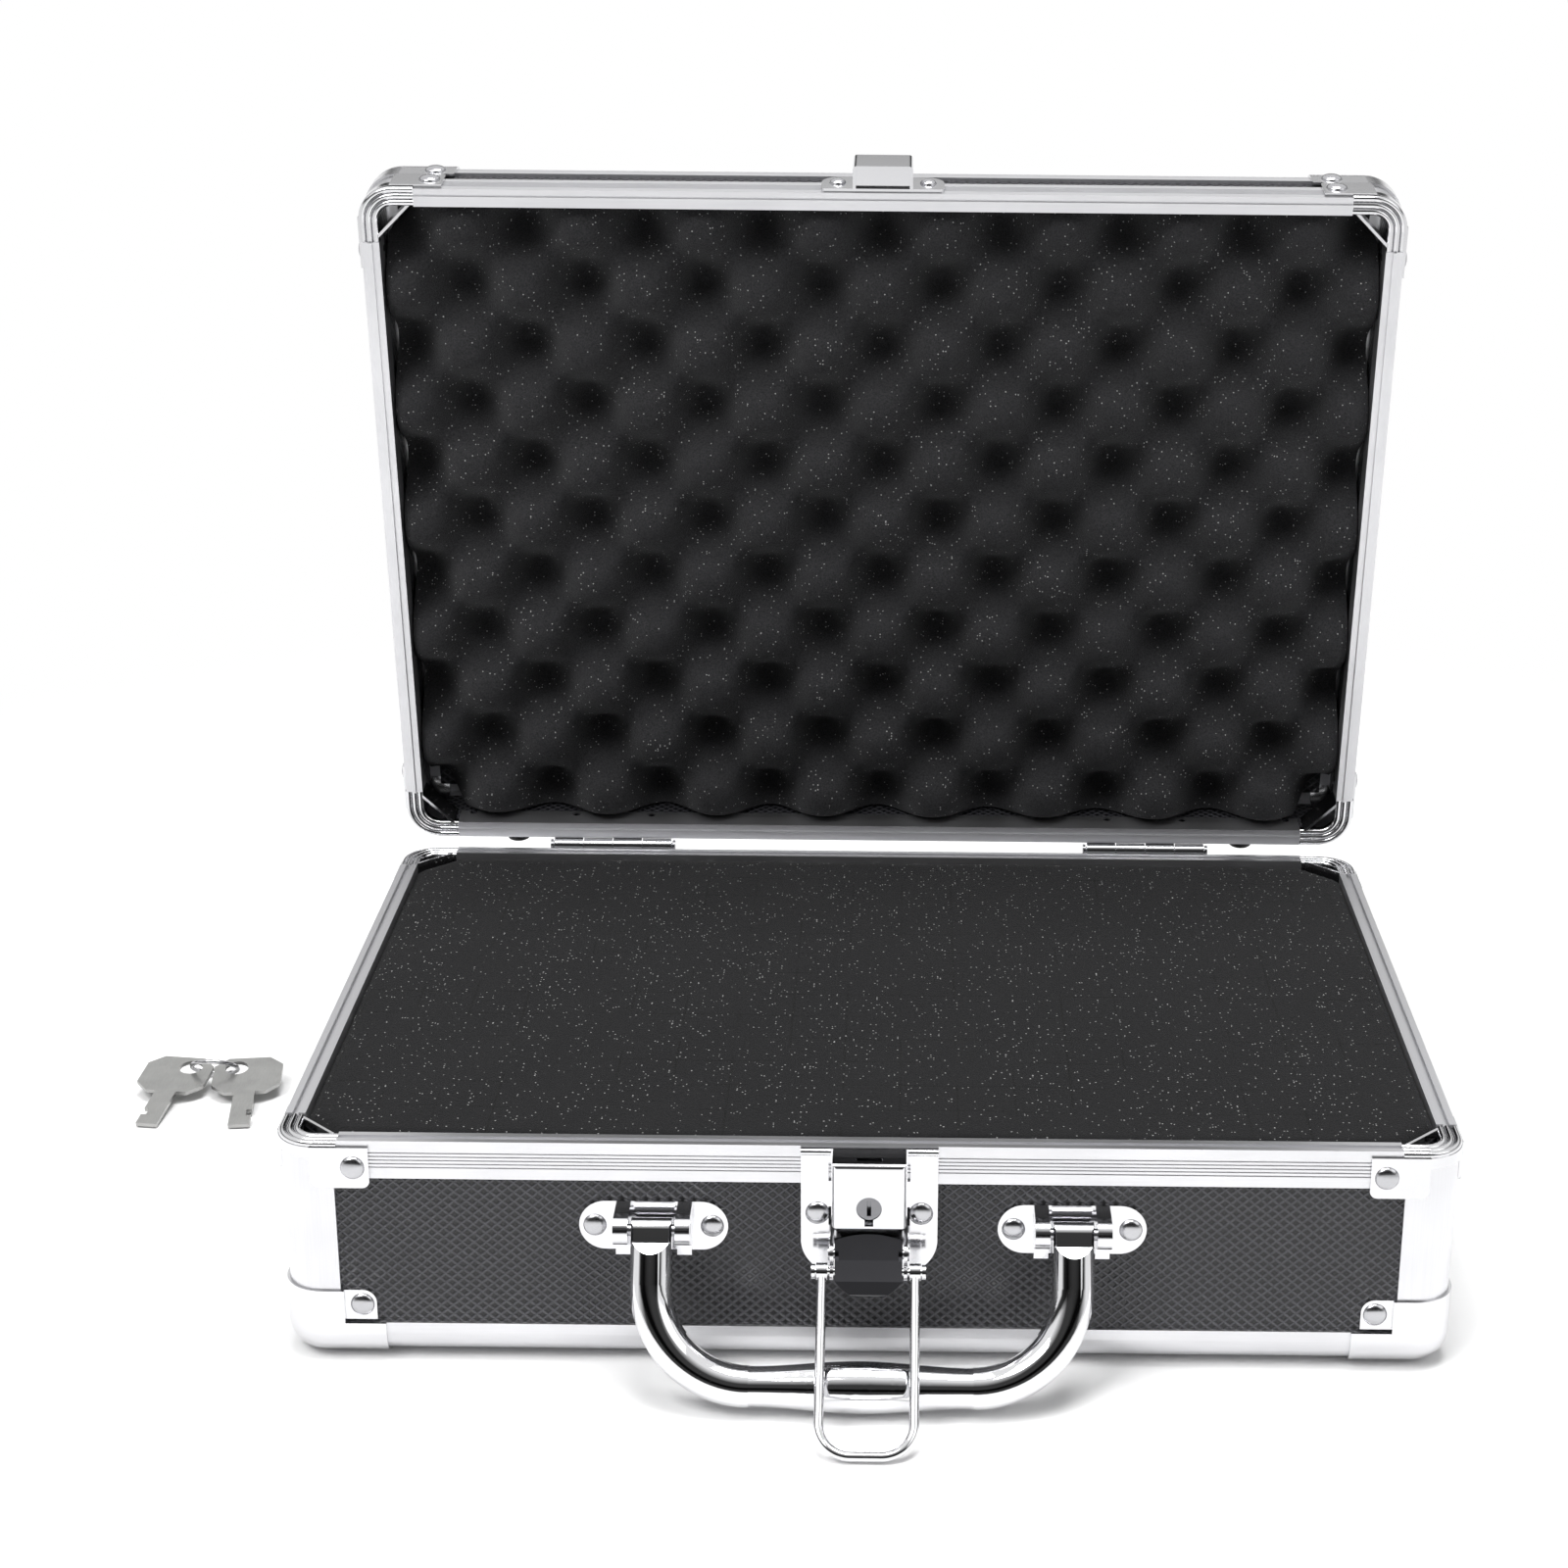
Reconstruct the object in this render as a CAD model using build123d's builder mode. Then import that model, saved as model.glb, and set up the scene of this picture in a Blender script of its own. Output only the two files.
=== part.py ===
from build123d import *
import math
import os

# Small aluminium tool case, built in millimetres and shown with its lid open.
# Origin: middle of the footprint, on the surface it stands on. +X right, +Y to the hinges, +Z up.

# Overall sizes of the closed case, over the extruded trims
case_width = 300.0
case_depth = 210.0
base_height = 62.5
lid_height = 27.5
seam_gap = 0.3
lid_open_angle = 81.85

# Walls: a laminated board held in aluminium trims
trim_skin = 1.0
board_thickness = 3.5
board_fit = 0.1
cap_skin = 0.8
cap_fit = 0.05

# Rim channel along the mating edges
rim_face_height = 10.4
rim_web = 2.5
rim_inner_leg = 0.7
rim_inner_height = 8.0
rim_end_inset = 15.8
rib_count = 5
rib_pitch = 1.0
rib_width = 0.45
rib_depth = 0.3
rib_start = 3.2
groove_width = 1.6
groove_depth = 1.0
tongue_clearance = 0.2
tongue_height = 0.8

# Edge and corner post trims
edge_flange = 9.9
edge_radius = 7.0
post_flange = 14.7
corner_radius = 10.0
seat_clearance = 0.2

# Pressed corners
ball_reach = 26.0
ball_height = 20.0
ball_lobe_height = 10.8
ball_tab_length = 9.0
ball_tab_radius = 3.5
ball_rivet_inset = 20.1
ball_rivet_height = 15.9
bead_count = 3
bead_rise = 0.9
bead_thickness = 2.3
bead_proud = 0.4
band_depth = 4.6
band_skin = 0.55
rim_tab_length = 14.9
rim_tab_start = 9.0
rim_tab_drop = 12.8
rim_tab_top = 1.6
rim_tab_radius = 2.0
rim_rivet_inset = 19.8
rim_rivet_drop = 7.1
gusset_leg = 8.5
gusset_thickness = 0.8
gusset_depth = 9.0

# Rivets
rivet_head_radius = 3.1
rivet_head_height = 1.3
rivet_shank_radius = 1.3
rivet_fit = 0.05
drill_margin = 2.0

# Foam
foam_wall_gap = 0.4
foam_floor_gap = 0.3
foam_below_rim = 0.7
foam_corner_cut = 11.5
lid_foam_depth = 20.8

# Hinges
hinge_offset = 2.6
hinge_spacing = 170.0
hinge_width = 37.5
hinge_leaf_height = 11.0
hinge_leaf_thickness = 1.0
knuckle_radius = 2.3
knuckle_count = 4
knuckle_gap = 0.3
hinge_pin_radius = 1.0
hinge_pin_fit = 0.05
hinge_pin_head_radius = 1.8
hinge_pin_head_thickness = 0.8
hinge_rivet_spacing = 24.0
hinge_rivet_drop = 6.4
hinge_rivet_head = 2.2

# Rubber feet on the back wall
foot_inset = 33.0
foot_base_radius = 5.4
foot_tip_radius = 3.5
foot_height = 7.0

# Handle
handle_offset = -1.6
handle_spacing = 106.2
handle_pivot_out = 6.0
handle_pivot_height = 40.9
handle_leg_radius = 5.5
handle_grip_radius = 6.6
handle_drop_short = 2.35
handle_bend_radius = 25.0
rest_gap = 0.02
handle_eye_width = 10.2
handle_eye_thickness = 6.4
handle_shoulder = 6.0
handle_pin_radius = 1.5
bracket_width = 37.8
bracket_height = 13.6
bracket_thickness = 1.0
bracket_below_pivot = 1.3
bracket_rivet_spacing = 29.8
bracket_rivet_head = 3.0
strap_width = 3.7
strap_gap = 11.9
strap_thickness = 1.2
strap_wall = 2.2
strap_foot = 5.3

# Latch plate with its raised lock box
plate_width = 34.6
plate_top = 62.2
plate_bottom = 28.4
plate_shoulder = 36.2
plate_toe_width = 25.6
plate_thickness = 1.0
plate_lip_radius = 0.9
plate_curve = 3.2
plate_lip_length = 7.6
box_width = 18.5
box_out = 6.8
box_top = 61.0
box_above_lever = 6.8
box_wall = 1.0
box_fillet = 1.2
box_slot_width = 7.2
box_slot_depth = 1.8
side_slot_width = 0.7
side_slot_length = 5.2
keyhole_above_lever = 12.3
keyhole_radius = 3.2
keyway_width = 2.2
keyway_end = 0.6
latch_rivet_spacing = 26.2
latch_rivet_height = 44.2

# Lever, its pin, the bail axle and the bail
lever_width = 17.0
lever_skin = 1.0
lever_pivot_out = 8.4
lever_below_handle = 4.3
lever_top_rise = 6.0
lever_skin_top = 0.8
lever_arch = 1.6
lever_fold_out = 2.4
lever_fold_z = -0.5
lever_knee_out = 3.6
lever_knee_drop = 5.9
lever_lip_out = 5.9
lever_lip_drop = 8.4
lever_cheek_low = 2.4
lever_cheek_drop = 3.0
lever_pin_radius = 1.2
running_fit = 0.05
ear_thickness = 0.9
ear_radius = 2.6
ear_gap = 0.35
pin_head = 0.45
lug_radius = 2.2
axle_out = 0.85
axle_drop = 4.6
axle_radius = 1.0
axle_half_length = 14.4
axle_cap_radius = 1.9
axle_cap_thickness = 1.0
bail_wire_radius = 1.25
bail_half_width = 11.75
bail_length = 49.0
bail_eye_wall = 1.15
bail_eye_half = 1.4
bail_crown_radius = 8.0

# Lock barrel
barrel_length = 6.0
barrel_recess = 0.3
keyslot_width = 1.1
keyslot_length = 4.2
keyslot_depth = 2.5
cam_reach = 4.6
cam_width = 3.0
cam_thickness = 1.0

# Catch on the lid
catch_width = 35.2
catch_height = 12.2
catch_edge_gap = 0.9
catch_thickness = 1.0
hat_width = 17.2
hat_out = 7.5
hat_wall = 0.9
hat_fillet = 1.2
hat_recess = 1.6
catch_rivet_spacing = 26.0
catch_wing_radius = 5.5
catch_rivet_head = 2.4

# Keys lying beside the case
key_length = 37.0
key_bow_width = 21.0
key_bow_length = 19.0
key_thickness = 1.2
key_hole_radius = 3.6
key_blade_width = 6.4
key_ring_radius = 7.0
key_ring_wire = 0.7
key_ring_tilt = 40.0
key_hole_edge = 5.4
key_sag = 1.0
key_bow_shift = 3.6
key_spread = 6.0
key_place_x = -206.0
key_place_y = 60.0

# Places worked out from the sizes above
half_width = case_width / 2
half_depth = case_depth / 2
rim_width = trim_skin + board_thickness + rim_inner_leg
inner_wall = trim_skin + board_thickness
edge_seat = edge_radius + seat_clearance
post_seat = corner_radius + seat_clearance
closed_height = base_height + seam_gap + lid_height
hinge_y = half_depth + hinge_offset
hinge_z = base_height + seam_gap / 2
board_face_y = half_depth - trim_skin
wall_build = hinge_leaf_thickness + trim_skin + board_thickness + rim_inner_leg
foot_spacing = case_width - 2 * foot_inset
handle_drop = handle_pivot_height - handle_drop_short
bracket_centre_height = handle_pivot_height - bracket_below_pivot
lever_pivot_height = handle_pivot_height - lever_below_handle
box_bottom = lever_pivot_height + box_above_lever
keyhole_height = lever_pivot_height + keyhole_above_lever

os.makedirs("parts", exist_ok=True)


def keep(piece, label, place=Location()):
    """Label a finished piece, set it in its place and write it."""
    placed = piece.moved(place)
    placed.label = label
    export_step(placed, f"parts/{label}.step")
    return placed


def about_line(y, z, degrees):
    """A turn about the line along X through y and z."""
    return Location((0, y, z)) * Location((0, 0, 0), (degrees, 0, 0)) * Location((0, -y, -z))


def mirrored(piece, plane):
    """The same piece on the other side of a middle plane."""
    with BuildPart() as other:
        add(piece)
        mirror(about=plane, mode=Mode.REPLACE)
    return other.part


def four_corners(piece):
    """One corner piece and its three mirror images."""
    with BuildPart() as all_four:
        add(piece)
        mirror(about=Plane.YZ)
        mirror(about=Plane.XZ)
    return all_four.part


def angle_section(flange, radius, seat):
    """Closed outline of an angle trim: two flanges, a rounded outside and a core between two boards."""
    with BuildSketch() as section:
        with BuildLine():
            Polyline((0, radius), (0, flange), (trim_skin, flange), (trim_skin, seat), (inner_wall, seat),
                     (inner_wall, inner_wall), (seat, inner_wall), (seat, trim_skin), (flange, trim_skin),
                     (flange, 0), (radius, 0))
            RadiusArc((radius, 0), (0, radius), radius)
        make_face()
    return section.sketch


def drilling(points, axis):
    """Holes for rivets: cylinders from just outside a wall to just inside it."""
    with BuildPart() as drills:
        for x, y, z in points:
            with BuildSketch(Plane(origin=(x, y, z), z_dir=axis).offset(drill_margin)):
                Circle(rivet_shank_radius + rivet_fit)
            extrude(amount=-2 * drill_margin - wall_build)
    return drills.part


def rivets(points, axis, head_radius, shank_length):
    """Domed rivets whose heads seat on the point and whose shanks run back through the wall."""
    with BuildPart() as group:
        for x, y, z in points:
            seat = Plane(origin=(x, y, z), z_dir=axis)
            with BuildSketch(seat):
                Circle(head_radius)
            extrude(amount=rivet_head_height * 0.45)
            with BuildSketch(seat.offset(rivet_head_height * 0.45)):
                Circle(head_radius)
            extrude(amount=rivet_head_height * 0.55, taper=45)
            with BuildSketch(seat):
                Circle(rivet_shank_radius)
            extrude(amount=-shank_length)
    return group.part


def corner_block(reach, top, grow):
    """The rounded corner of the case's envelope, made larger by grow on its outside."""
    with BuildPart() as block:
        with BuildSketch(Plane.XY.offset(cap_skin - grow)) as foot:
            with Locations((-half_width - grow, -half_depth - grow)):
                Rectangle(reach + grow, reach + grow, align=(Align.MIN, Align.MIN))
            fillet(foot.vertices().group_by(Axis.X)[0].sort_by(Axis.Y)[0], radius=corner_radius + grow)
        extrude(amount=top - cap_skin + grow)
        under = block.faces().sort_by(Axis.Z)[0].edges()
        outer = under.filter_by(lambda e: (e.center().X < reach - half_width - 0.5)
                                and (e.center().Y < reach - half_depth - 0.5))
        fillet(outer, radius=edge_radius + grow)
    return block.part


def wall_rivet_points(rim_z, inset_y):
    """Front wall and left wall places of the corner rivets, for a tray whose rim is at rim_z."""
    rim_drop = rim_z - rim_rivet_drop
    front = [(sign * (half_width - rim_rivet_inset), -half_depth - inset_y, rim_drop) for sign in (-1, 1)]
    side = [(-half_width - inset_y, sign * (half_depth - rim_rivet_inset), rim_drop) for sign in (-1, 1)]
    return front, side


def ball_rivet_points(height, proud):
    """Front wall and left wall places of the ball corner rivets, on a plate that stands proud of the trims."""
    front = [(sign * (half_width - ball_rivet_inset), -half_depth - proud, height) for sign in (-1, 1)]
    side = [(-half_width - proud, sign * (half_depth - ball_rivet_inset), height) for sign in (-1, 1)]
    return front, side


def ball_corner(top, lobe_top):
    """Pressed corner with a ball-like bottom, a lobe over each edge trim and two riveted tabs."""
    outer = corner_block(ball_reach, top, cap_skin)
    inner = corner_block(ball_reach + 2, top + 2, cap_fit)
    post_reach = post_flange + cap_fit
    board_x = -half_width + trim_skin
    board_y = -half_depth + trim_skin
    tab_bottom = lobe_top + cap_skin
    with BuildPart() as corner:
        add(outer)
        add(inner, mode=Mode.SUBTRACT)
        if tab_bottom < top:
            with BuildSketch(Plane.XY.offset(lobe_top)):
                with Locations((-half_width + post_reach + cap_skin, -half_depth - 2 * cap_skin)):
                    Rectangle(ball_reach, 2 * ball_reach, align=(Align.MIN, Align.MIN))
                with Locations((-half_width - 2 * cap_skin, -half_depth + post_reach + cap_skin)):
                    Rectangle(2 * ball_reach, ball_reach, align=(Align.MIN, Align.MIN))
            extrude(amount=top, mode=Mode.SUBTRACT)
            # tabs lying on the boards beyond the post, each with a joggle up to the shell
            for wall, edge, outwards in ((Plane.XZ.offset(-board_y), -half_width, 1),
                                         (Plane.YZ.offset(board_x), -half_depth, -1)):
                with BuildSketch(wall) as tab:
                    with Locations((edge + post_reach, tab_bottom)):
                        Rectangle(ball_tab_length, top - tab_bottom, align=(Align.MIN, Align.MIN))
                    fillet(tab.vertices().group_by(Axis.X)[-1].sort_by(Axis.Y)[-1], radius=ball_tab_radius)
                extrude(amount=outwards * cap_skin)
                with BuildSketch(wall):
                    with Locations((edge + post_reach, tab_bottom)):
                        Rectangle(cap_skin, top - tab_bottom, align=(Align.MIN, Align.MIN))
                extrude(amount=outwards * (trim_skin + cap_skin))
    return corner.part


def rim_corner(rim_z):
    """Stepped corner of the rim: concentric beads, a band round the post, two riveted tabs and a gusset."""
    centre_x = -half_width + corner_radius
    centre_y = -half_depth + corner_radius
    inner_radius = corner_radius - rim_width
    outer_radius = corner_radius + bead_proud
    pitch = (outer_radius - inner_radius) / bead_count
    shoulder = rim_z - bead_rise - seam_gap / 2
    section_plane = Plane(origin=(centre_x, centre_y, 0), x_dir=(-1, 0, 0), z_dir=(0, 1, 0))
    straight = rim_end_inset - corner_radius
    plate_bottom_z = rim_z - rim_tab_drop
    plate_top_z = rim_z - rim_tab_top
    with BuildPart() as corner:
        with BuildSketch(section_plane):
            with BuildLine():
                for step in range(bead_count):
                    start = inner_radius + step * pitch
                    ThreePointArc((start, shoulder), (start + pitch / 2, shoulder + bead_rise),
                                  (start + pitch, shoulder))
                Polyline((outer_radius, shoulder), (outer_radius, rim_z - bead_thickness),
                         (inner_radius, rim_z - bead_thickness), (inner_radius, shoulder))
            make_face()
            with Locations((corner_radius + cap_fit, rim_z - band_depth)):
                Rectangle(band_skin, band_depth - rim_tab_top, align=(Align.MIN, Align.MIN))
        revolve(axis=Axis((centre_x, centre_y, 0), (0, 0, 1)), revolution_arc=90)
        extrude(corner.faces().sort_by(Axis.Y)[-1], amount=straight)
        extrude(corner.faces().sort_by(Axis.X)[-1], amount=straight)
        # front tab and side tab
        with BuildSketch(Plane.XZ.offset(half_depth + cap_fit)) as front_tab:
            with Locations((-half_width + rim_tab_start, plate_bottom_z)):
                Rectangle(rim_tab_length, plate_top_z - plate_bottom_z, align=(Align.MIN, Align.MIN))
            fillet(front_tab.vertices().group_by(Axis.Y)[0], radius=rim_tab_radius)
        extrude(amount=cap_skin)
        with BuildSketch(Plane.YZ.offset(-half_width - cap_fit)) as side_tab:
            with Locations((-half_depth + rim_tab_start, plate_bottom_z)):
                Rectangle(rim_tab_length, plate_top_z - plate_bottom_z, align=(Align.MIN, Align.MIN))
            fillet(side_tab.vertices().group_by(Axis.Y)[0], radius=rim_tab_radius)
        extrude(amount=-cap_skin)
        # gusset across the inside of the corner
        inner_x = -half_width + rim_width - 0.2
        inner_y = -half_depth + rim_width - 0.2
        with BuildSketch(Plane.XY.offset(rim_z - gusset_depth)):
            with BuildLine():
                Polyline((inner_x, inner_y + gusset_leg), (inner_x + gusset_leg, inner_y),
                         (inner_x + gusset_leg + gusset_thickness * math.sqrt(2), inner_y),
                         (inner_x, inner_y + gusset_leg + gusset_thickness * math.sqrt(2)), close=True)
            make_face()
        extrude(amount=gusset_depth - seam_gap)
    return corner.part


def rim_section(has_tongue):
    """Rim channel: x is the distance inwards from the outer face, y the height below or above the rim."""
    middle = rim_width / 2
    tongue_width = groove_width - 2 * tongue_clearance
    with BuildSketch() as section:
        with BuildLine():
            Polyline((0, 0), (rim_width, 0), (rim_width, -rim_inner_height), (inner_wall, -rim_inner_height),
                     (inner_wall, -rim_web), (trim_skin, -rim_web), (trim_skin, -rim_face_height),
                     (0, -rim_face_height), close=True)
        make_face()
        with Locations(*[(0, -rib_start - step * rib_pitch) for step in range(rib_count)]):
            Rectangle(rib_depth * 2, rib_width, mode=Mode.SUBTRACT)
        if has_tongue:
            with Locations((middle, tongue_height / 2)):
                Rectangle(tongue_width, tongue_height)
        else:
            with Locations((middle, -groove_depth / 2)):
                Rectangle(groove_width, groove_depth, mode=Mode.SUBTRACT)
    return section.sketch


def tray(name, height, place, near, far, has_tongue, near_holes, far_holes):
    """One half of the case: floor and wall boards, trims, pressed corners and their rivets.

    It is built standing on its floor with its rim up. near and far name the walls at -Y and +Y.
    """
    rim_z = height
    board_top = rim_z - rim_web - board_fit
    board_bottom = cap_skin + edge_seat + board_fit
    front_half = half_width - post_seat - board_fit
    side_half = half_depth - post_seat - board_fit
    ball_top = min(ball_height, rim_z - rim_tab_drop - board_fit)
    has_tabs = ball_top - ball_lobe_height > 2 * rivet_head_radius
    lobe_top = ball_lobe_height if has_tabs else ball_top
    tab_z = ball_rivet_height if has_tabs else lobe_top - rivet_head_radius - cap_skin

    front_rim, side_rim = wall_rivet_points(rim_z, cap_fit + cap_skin)
    ball_out = cap_skin - trim_skin if has_tabs else cap_skin
    front_ball, side_ball = ball_rivet_points(tab_z, ball_out)
    shank = cap_skin + trim_skin + board_thickness - 1
    front_drill = drilling(front_rim + front_ball, (0, -1, 0))
    side_drill = drilling(side_rim + side_ball, (-1, 0, 0))

    # floor board
    with BuildPart() as floor_board:
        with BuildSketch(Plane.XY.offset(cap_skin + trim_skin)):
            Rectangle(case_width - 2 * (edge_seat + board_fit), case_depth - 2 * (edge_seat + board_fit))
        extrude(amount=board_thickness)
    keep(floor_board.part, f"{name}_{'bottom' if not has_tongue else 'top'}_panel", place)

    # long walls, at -Y and mirrored to +Y
    with BuildPart() as long_board:
        with BuildSketch(Plane.XZ.offset(half_depth - trim_skin)):
            with Locations((0, board_bottom)):
                Rectangle(2 * front_half, board_top - board_bottom, align=(Align.CENTER, Align.MIN))
        extrude(amount=-board_thickness)
        add(front_drill, mode=Mode.SUBTRACT)
    with BuildPart() as near_board:
        add(long_board.part)
        add(near_holes, mode=Mode.SUBTRACT)
    keep(near_board.part, f"{name}_{near}_panel", place)
    with BuildPart() as far_board:
        add(mirrored(long_board.part, Plane.XZ))
        add(far_holes, mode=Mode.SUBTRACT)
    keep(far_board.part, f"{name}_{far}_panel", place)

    # short walls
    with BuildPart() as short_board:
        with BuildSketch(Plane.YZ.offset(-half_width + trim_skin)):
            with Locations((0, board_bottom)):
                Rectangle(2 * side_half, board_top - board_bottom, align=(Align.CENTER, Align.MIN))
        extrude(amount=board_thickness)
        add(side_drill, mode=Mode.SUBTRACT)
    keep(short_board.part, f"{name}_left_panel", place)
    keep(mirrored(short_board.part, Plane.YZ), f"{name}_right_panel", place)

    # rim channels
    section = rim_section(has_tongue)
    rim_half = half_width - rim_end_inset
    near_plane = Plane(origin=(-rim_half, -half_depth, rim_z), x_dir=(0, 1, 0), z_dir=(1, 0, 0))
    with BuildPart() as long_rim:
        with BuildSketch(near_plane):
            add(section)
        extrude(amount=2 * rim_half)
        add(front_drill, mode=Mode.SUBTRACT)
    with BuildPart() as near_rim:
        add(long_rim.part)
        add(near_holes, mode=Mode.SUBTRACT)
    keep(near_rim.part, f"{name}_{near}_rim", place)
    with BuildPart() as far_rim:
        add(mirrored(long_rim.part, Plane.XZ))
        add(far_holes, mode=Mode.SUBTRACT)
    keep(far_rim.part, f"{name}_{far}_rim", place)
    side_rim_half = half_depth - rim_end_inset
    left_plane = Plane(origin=(-half_width, side_rim_half, rim_z), x_dir=(1, 0, 0), z_dir=(0, -1, 0))
    with BuildPart() as short_rim:
        with BuildSketch(left_plane):
            add(section)
        extrude(amount=2 * side_rim_half)
        add(side_drill, mode=Mode.SUBTRACT)
    keep(short_rim.part, f"{name}_left_rim", place)
    keep(mirrored(short_rim.part, Plane.YZ), f"{name}_right_rim", place)

    # edge trims under the walls
    edge_section = angle_section(edge_flange, edge_radius, edge_seat)
    edge_half = half_width - corner_radius
    edge_plane = Plane(origin=(-edge_half, -half_depth, cap_skin), x_dir=(0, 1, 0), z_dir=(1, 0, 0))
    with BuildPart() as long_edge:
        with BuildSketch(edge_plane):
            add(edge_section)
        extrude(amount=2 * edge_half)
        add(front_drill, mode=Mode.SUBTRACT)
    keep(long_edge.part, f"{name}_{near}_edge", place)
    keep(mirrored(long_edge.part, Plane.XZ), f"{name}_{far}_edge", place)
    side_edge_half = half_depth - corner_radius
    side_plane = Plane(origin=(-half_width, side_edge_half, cap_skin), x_dir=(1, 0, 0), z_dir=(0, -1, 0))
    with BuildPart() as short_edge:
        with BuildSketch(side_plane):
            add(edge_section)
        extrude(amount=2 * side_edge_half)
        add(side_drill, mode=Mode.SUBTRACT)
    keep(short_edge.part, f"{name}_left_edge", place)
    keep(mirrored(short_edge.part, Plane.YZ), f"{name}_right_edge", place)

    # corner posts, from the edge trims up to the pressed rim corners
    post_section = angle_section(post_flange, corner_radius, post_seat)
    with BuildPart() as post:
        with BuildSketch(Plane(origin=(-half_width, -half_depth, cap_skin + edge_flange + board_fit))):
            add(post_section)
        extrude(amount=rim_z - bead_thickness - board_fit - cap_skin - edge_flange - board_fit)
    keep(four_corners(post.part), f"{name}_corner_posts", place)

    # pressed corners, drilled for their rivets
    with BuildPart() as ball:
        add(ball_corner(ball_top, lobe_top))
        add(front_drill, mode=Mode.SUBTRACT)
        add(side_drill, mode=Mode.SUBTRACT)
    keep(four_corners(ball.part), f"{name}_ball_corners", place)
    with BuildPart() as stepped:
        add(rim_corner(rim_z))
        add(front_drill, mode=Mode.SUBTRACT)
        add(side_drill, mode=Mode.SUBTRACT)
    keep(four_corners(stepped.part), f"{name}_rim_corners", place)

    # rivets through the corner tabs
    with BuildPart() as corner_rivets:
        add(rivets(front_rim[:1] + front_ball[:1], (0, -1, 0), rivet_head_radius, shank))
        add(rivets(side_rim[:1] + side_ball[:1], (-1, 0, 0), rivet_head_radius, shank))
    keep(four_corners(corner_rivets.part), f"{name}_corner_rivets", place)


def foam_block(bottom, top):
    """A block of foam that fills the inside of a tray, with its corners cut to clear the gussets."""
    with BuildPart() as block:
        with BuildSketch(Plane.XY.offset(bottom)) as plan:
            Rectangle(case_width - 2 * (rim_width + foam_wall_gap), case_depth - 2 * (rim_width + foam_wall_gap))
            chamfer(plan.vertices(), length=foam_corner_cut)
        extrude(amount=top - bottom)
    return block.part


# Places of the two halves: the lid tray is turned over onto the base, then opened about the hinges
base_place = Location()
lid_closed = Location((0, 0, closed_height), (180, 0, 0))
lid_place = about_line(hinge_y, hinge_z, -lid_open_angle) * lid_closed
lid_rest = about_line(hinge_y, hinge_z, -lid_open_angle)

# Rivet places on the front and back walls
bracket_points = [(handle_offset + side * handle_spacing / 2 + end * bracket_rivet_spacing / 2,
                   -board_face_y - bracket_thickness, bracket_centre_height)
                  for side in (-1, 1) for end in (-1, 1)]
latch_points = [(side * latch_rivet_spacing / 2, -half_depth - plate_thickness, latch_rivet_height)
                for side in (-1, 1)]
hinge_face_y = half_depth + hinge_leaf_thickness
hinge_points = [(side * hinge_spacing / 2 + end * hinge_rivet_spacing / 2, hinge_face_y,
                 base_height - hinge_rivet_drop)
                for side in (-1, 1) for end in (-1, 1)]
catch_z = base_height + seam_gap + catch_edge_gap + catch_height / 2
catch_points = [(side * catch_rivet_spacing / 2, -half_depth - catch_thickness, catch_z) for side in (-1, 1)]

base_front_holes = drilling(bracket_points + latch_points, (0, -1, 0))
base_back_holes = drilling(hinge_points, (0, 1, 0))
# the lid tray is drilled upside down, so its holes are turned back from the closed place
lid_hinge_points = [(x, y, 2 * hinge_z - z) for x, y, z in hinge_points]
lid_near_holes = drilling(lid_hinge_points, (0, 1, 0)).moved(lid_closed.inverse())
lid_far_holes = drilling(catch_points, (0, -1, 0)).moved(lid_closed.inverse())

tray("base", base_height, base_place, "front", "back", False, base_front_holes, base_back_holes)
tray("lid", lid_height, lid_place, "back", "front", True, lid_near_holes, lid_far_holes)

# Foam
base_floor = cap_skin + trim_skin + board_thickness
keep(foam_block(base_floor + foam_floor_gap, base_height - foam_below_rim), "base_foam")
lid_floor = base_floor + foam_floor_gap
keep(foam_block(lid_floor, lid_floor + lid_foam_depth), "lid_foam", lid_place)


# Hinges: knuckles shared out between the two leaves, the first one on the lid
def hinge_leaf(on_lid):
    """Two hinge leaves on one wall, with their own knuckles bored for the pins."""
    pitch = hinge_width / knuckle_count
    rise = 1 if on_lid else -1
    first = 0 if on_lid else 1
    grow = Align.MIN if on_lid else Align.MAX
    with BuildPart() as leaf:
        for side in (-1, 1):
            left = side * hinge_spacing / 2 - hinge_width / 2
            with BuildSketch(Plane.XZ.offset(-half_depth)):
                with Locations((left, hinge_z + rise * (knuckle_radius + knuckle_gap))):
                    Rectangle(hinge_width, hinge_leaf_height - knuckle_radius, align=(Align.MIN, grow))
            extrude(amount=-hinge_leaf_thickness)
            for step in range(first, knuckle_count, 2):
                start = left + step * pitch + knuckle_gap / 2
                with BuildSketch(Plane.YZ.offset(start)):
                    with Locations((hinge_y, hinge_z)):
                        Circle(knuckle_radius)
                    with Locations((half_depth, hinge_z)):
                        Rectangle(hinge_leaf_thickness, knuckle_radius + 2 * knuckle_gap, align=(Align.MIN, grow))
                    with Locations((hinge_y, hinge_z)):
                        Circle(hinge_pin_radius + hinge_pin_fit, mode=Mode.SUBTRACT)
                extrude(amount=pitch - knuckle_gap)
        add(drilling(lid_hinge_points if on_lid else hinge_points, (0, 1, 0)), mode=Mode.SUBTRACT)
    return leaf.part


def cross_pin(y, z, radius, start, end):
    """A straight pin along X from start to end."""
    with BuildPart() as pin:
        with BuildSketch(Plane.YZ.offset(start)):
            with Locations((y, z)):
                Circle(radius)
        extrude(amount=end - start)
    return pin.part


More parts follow.
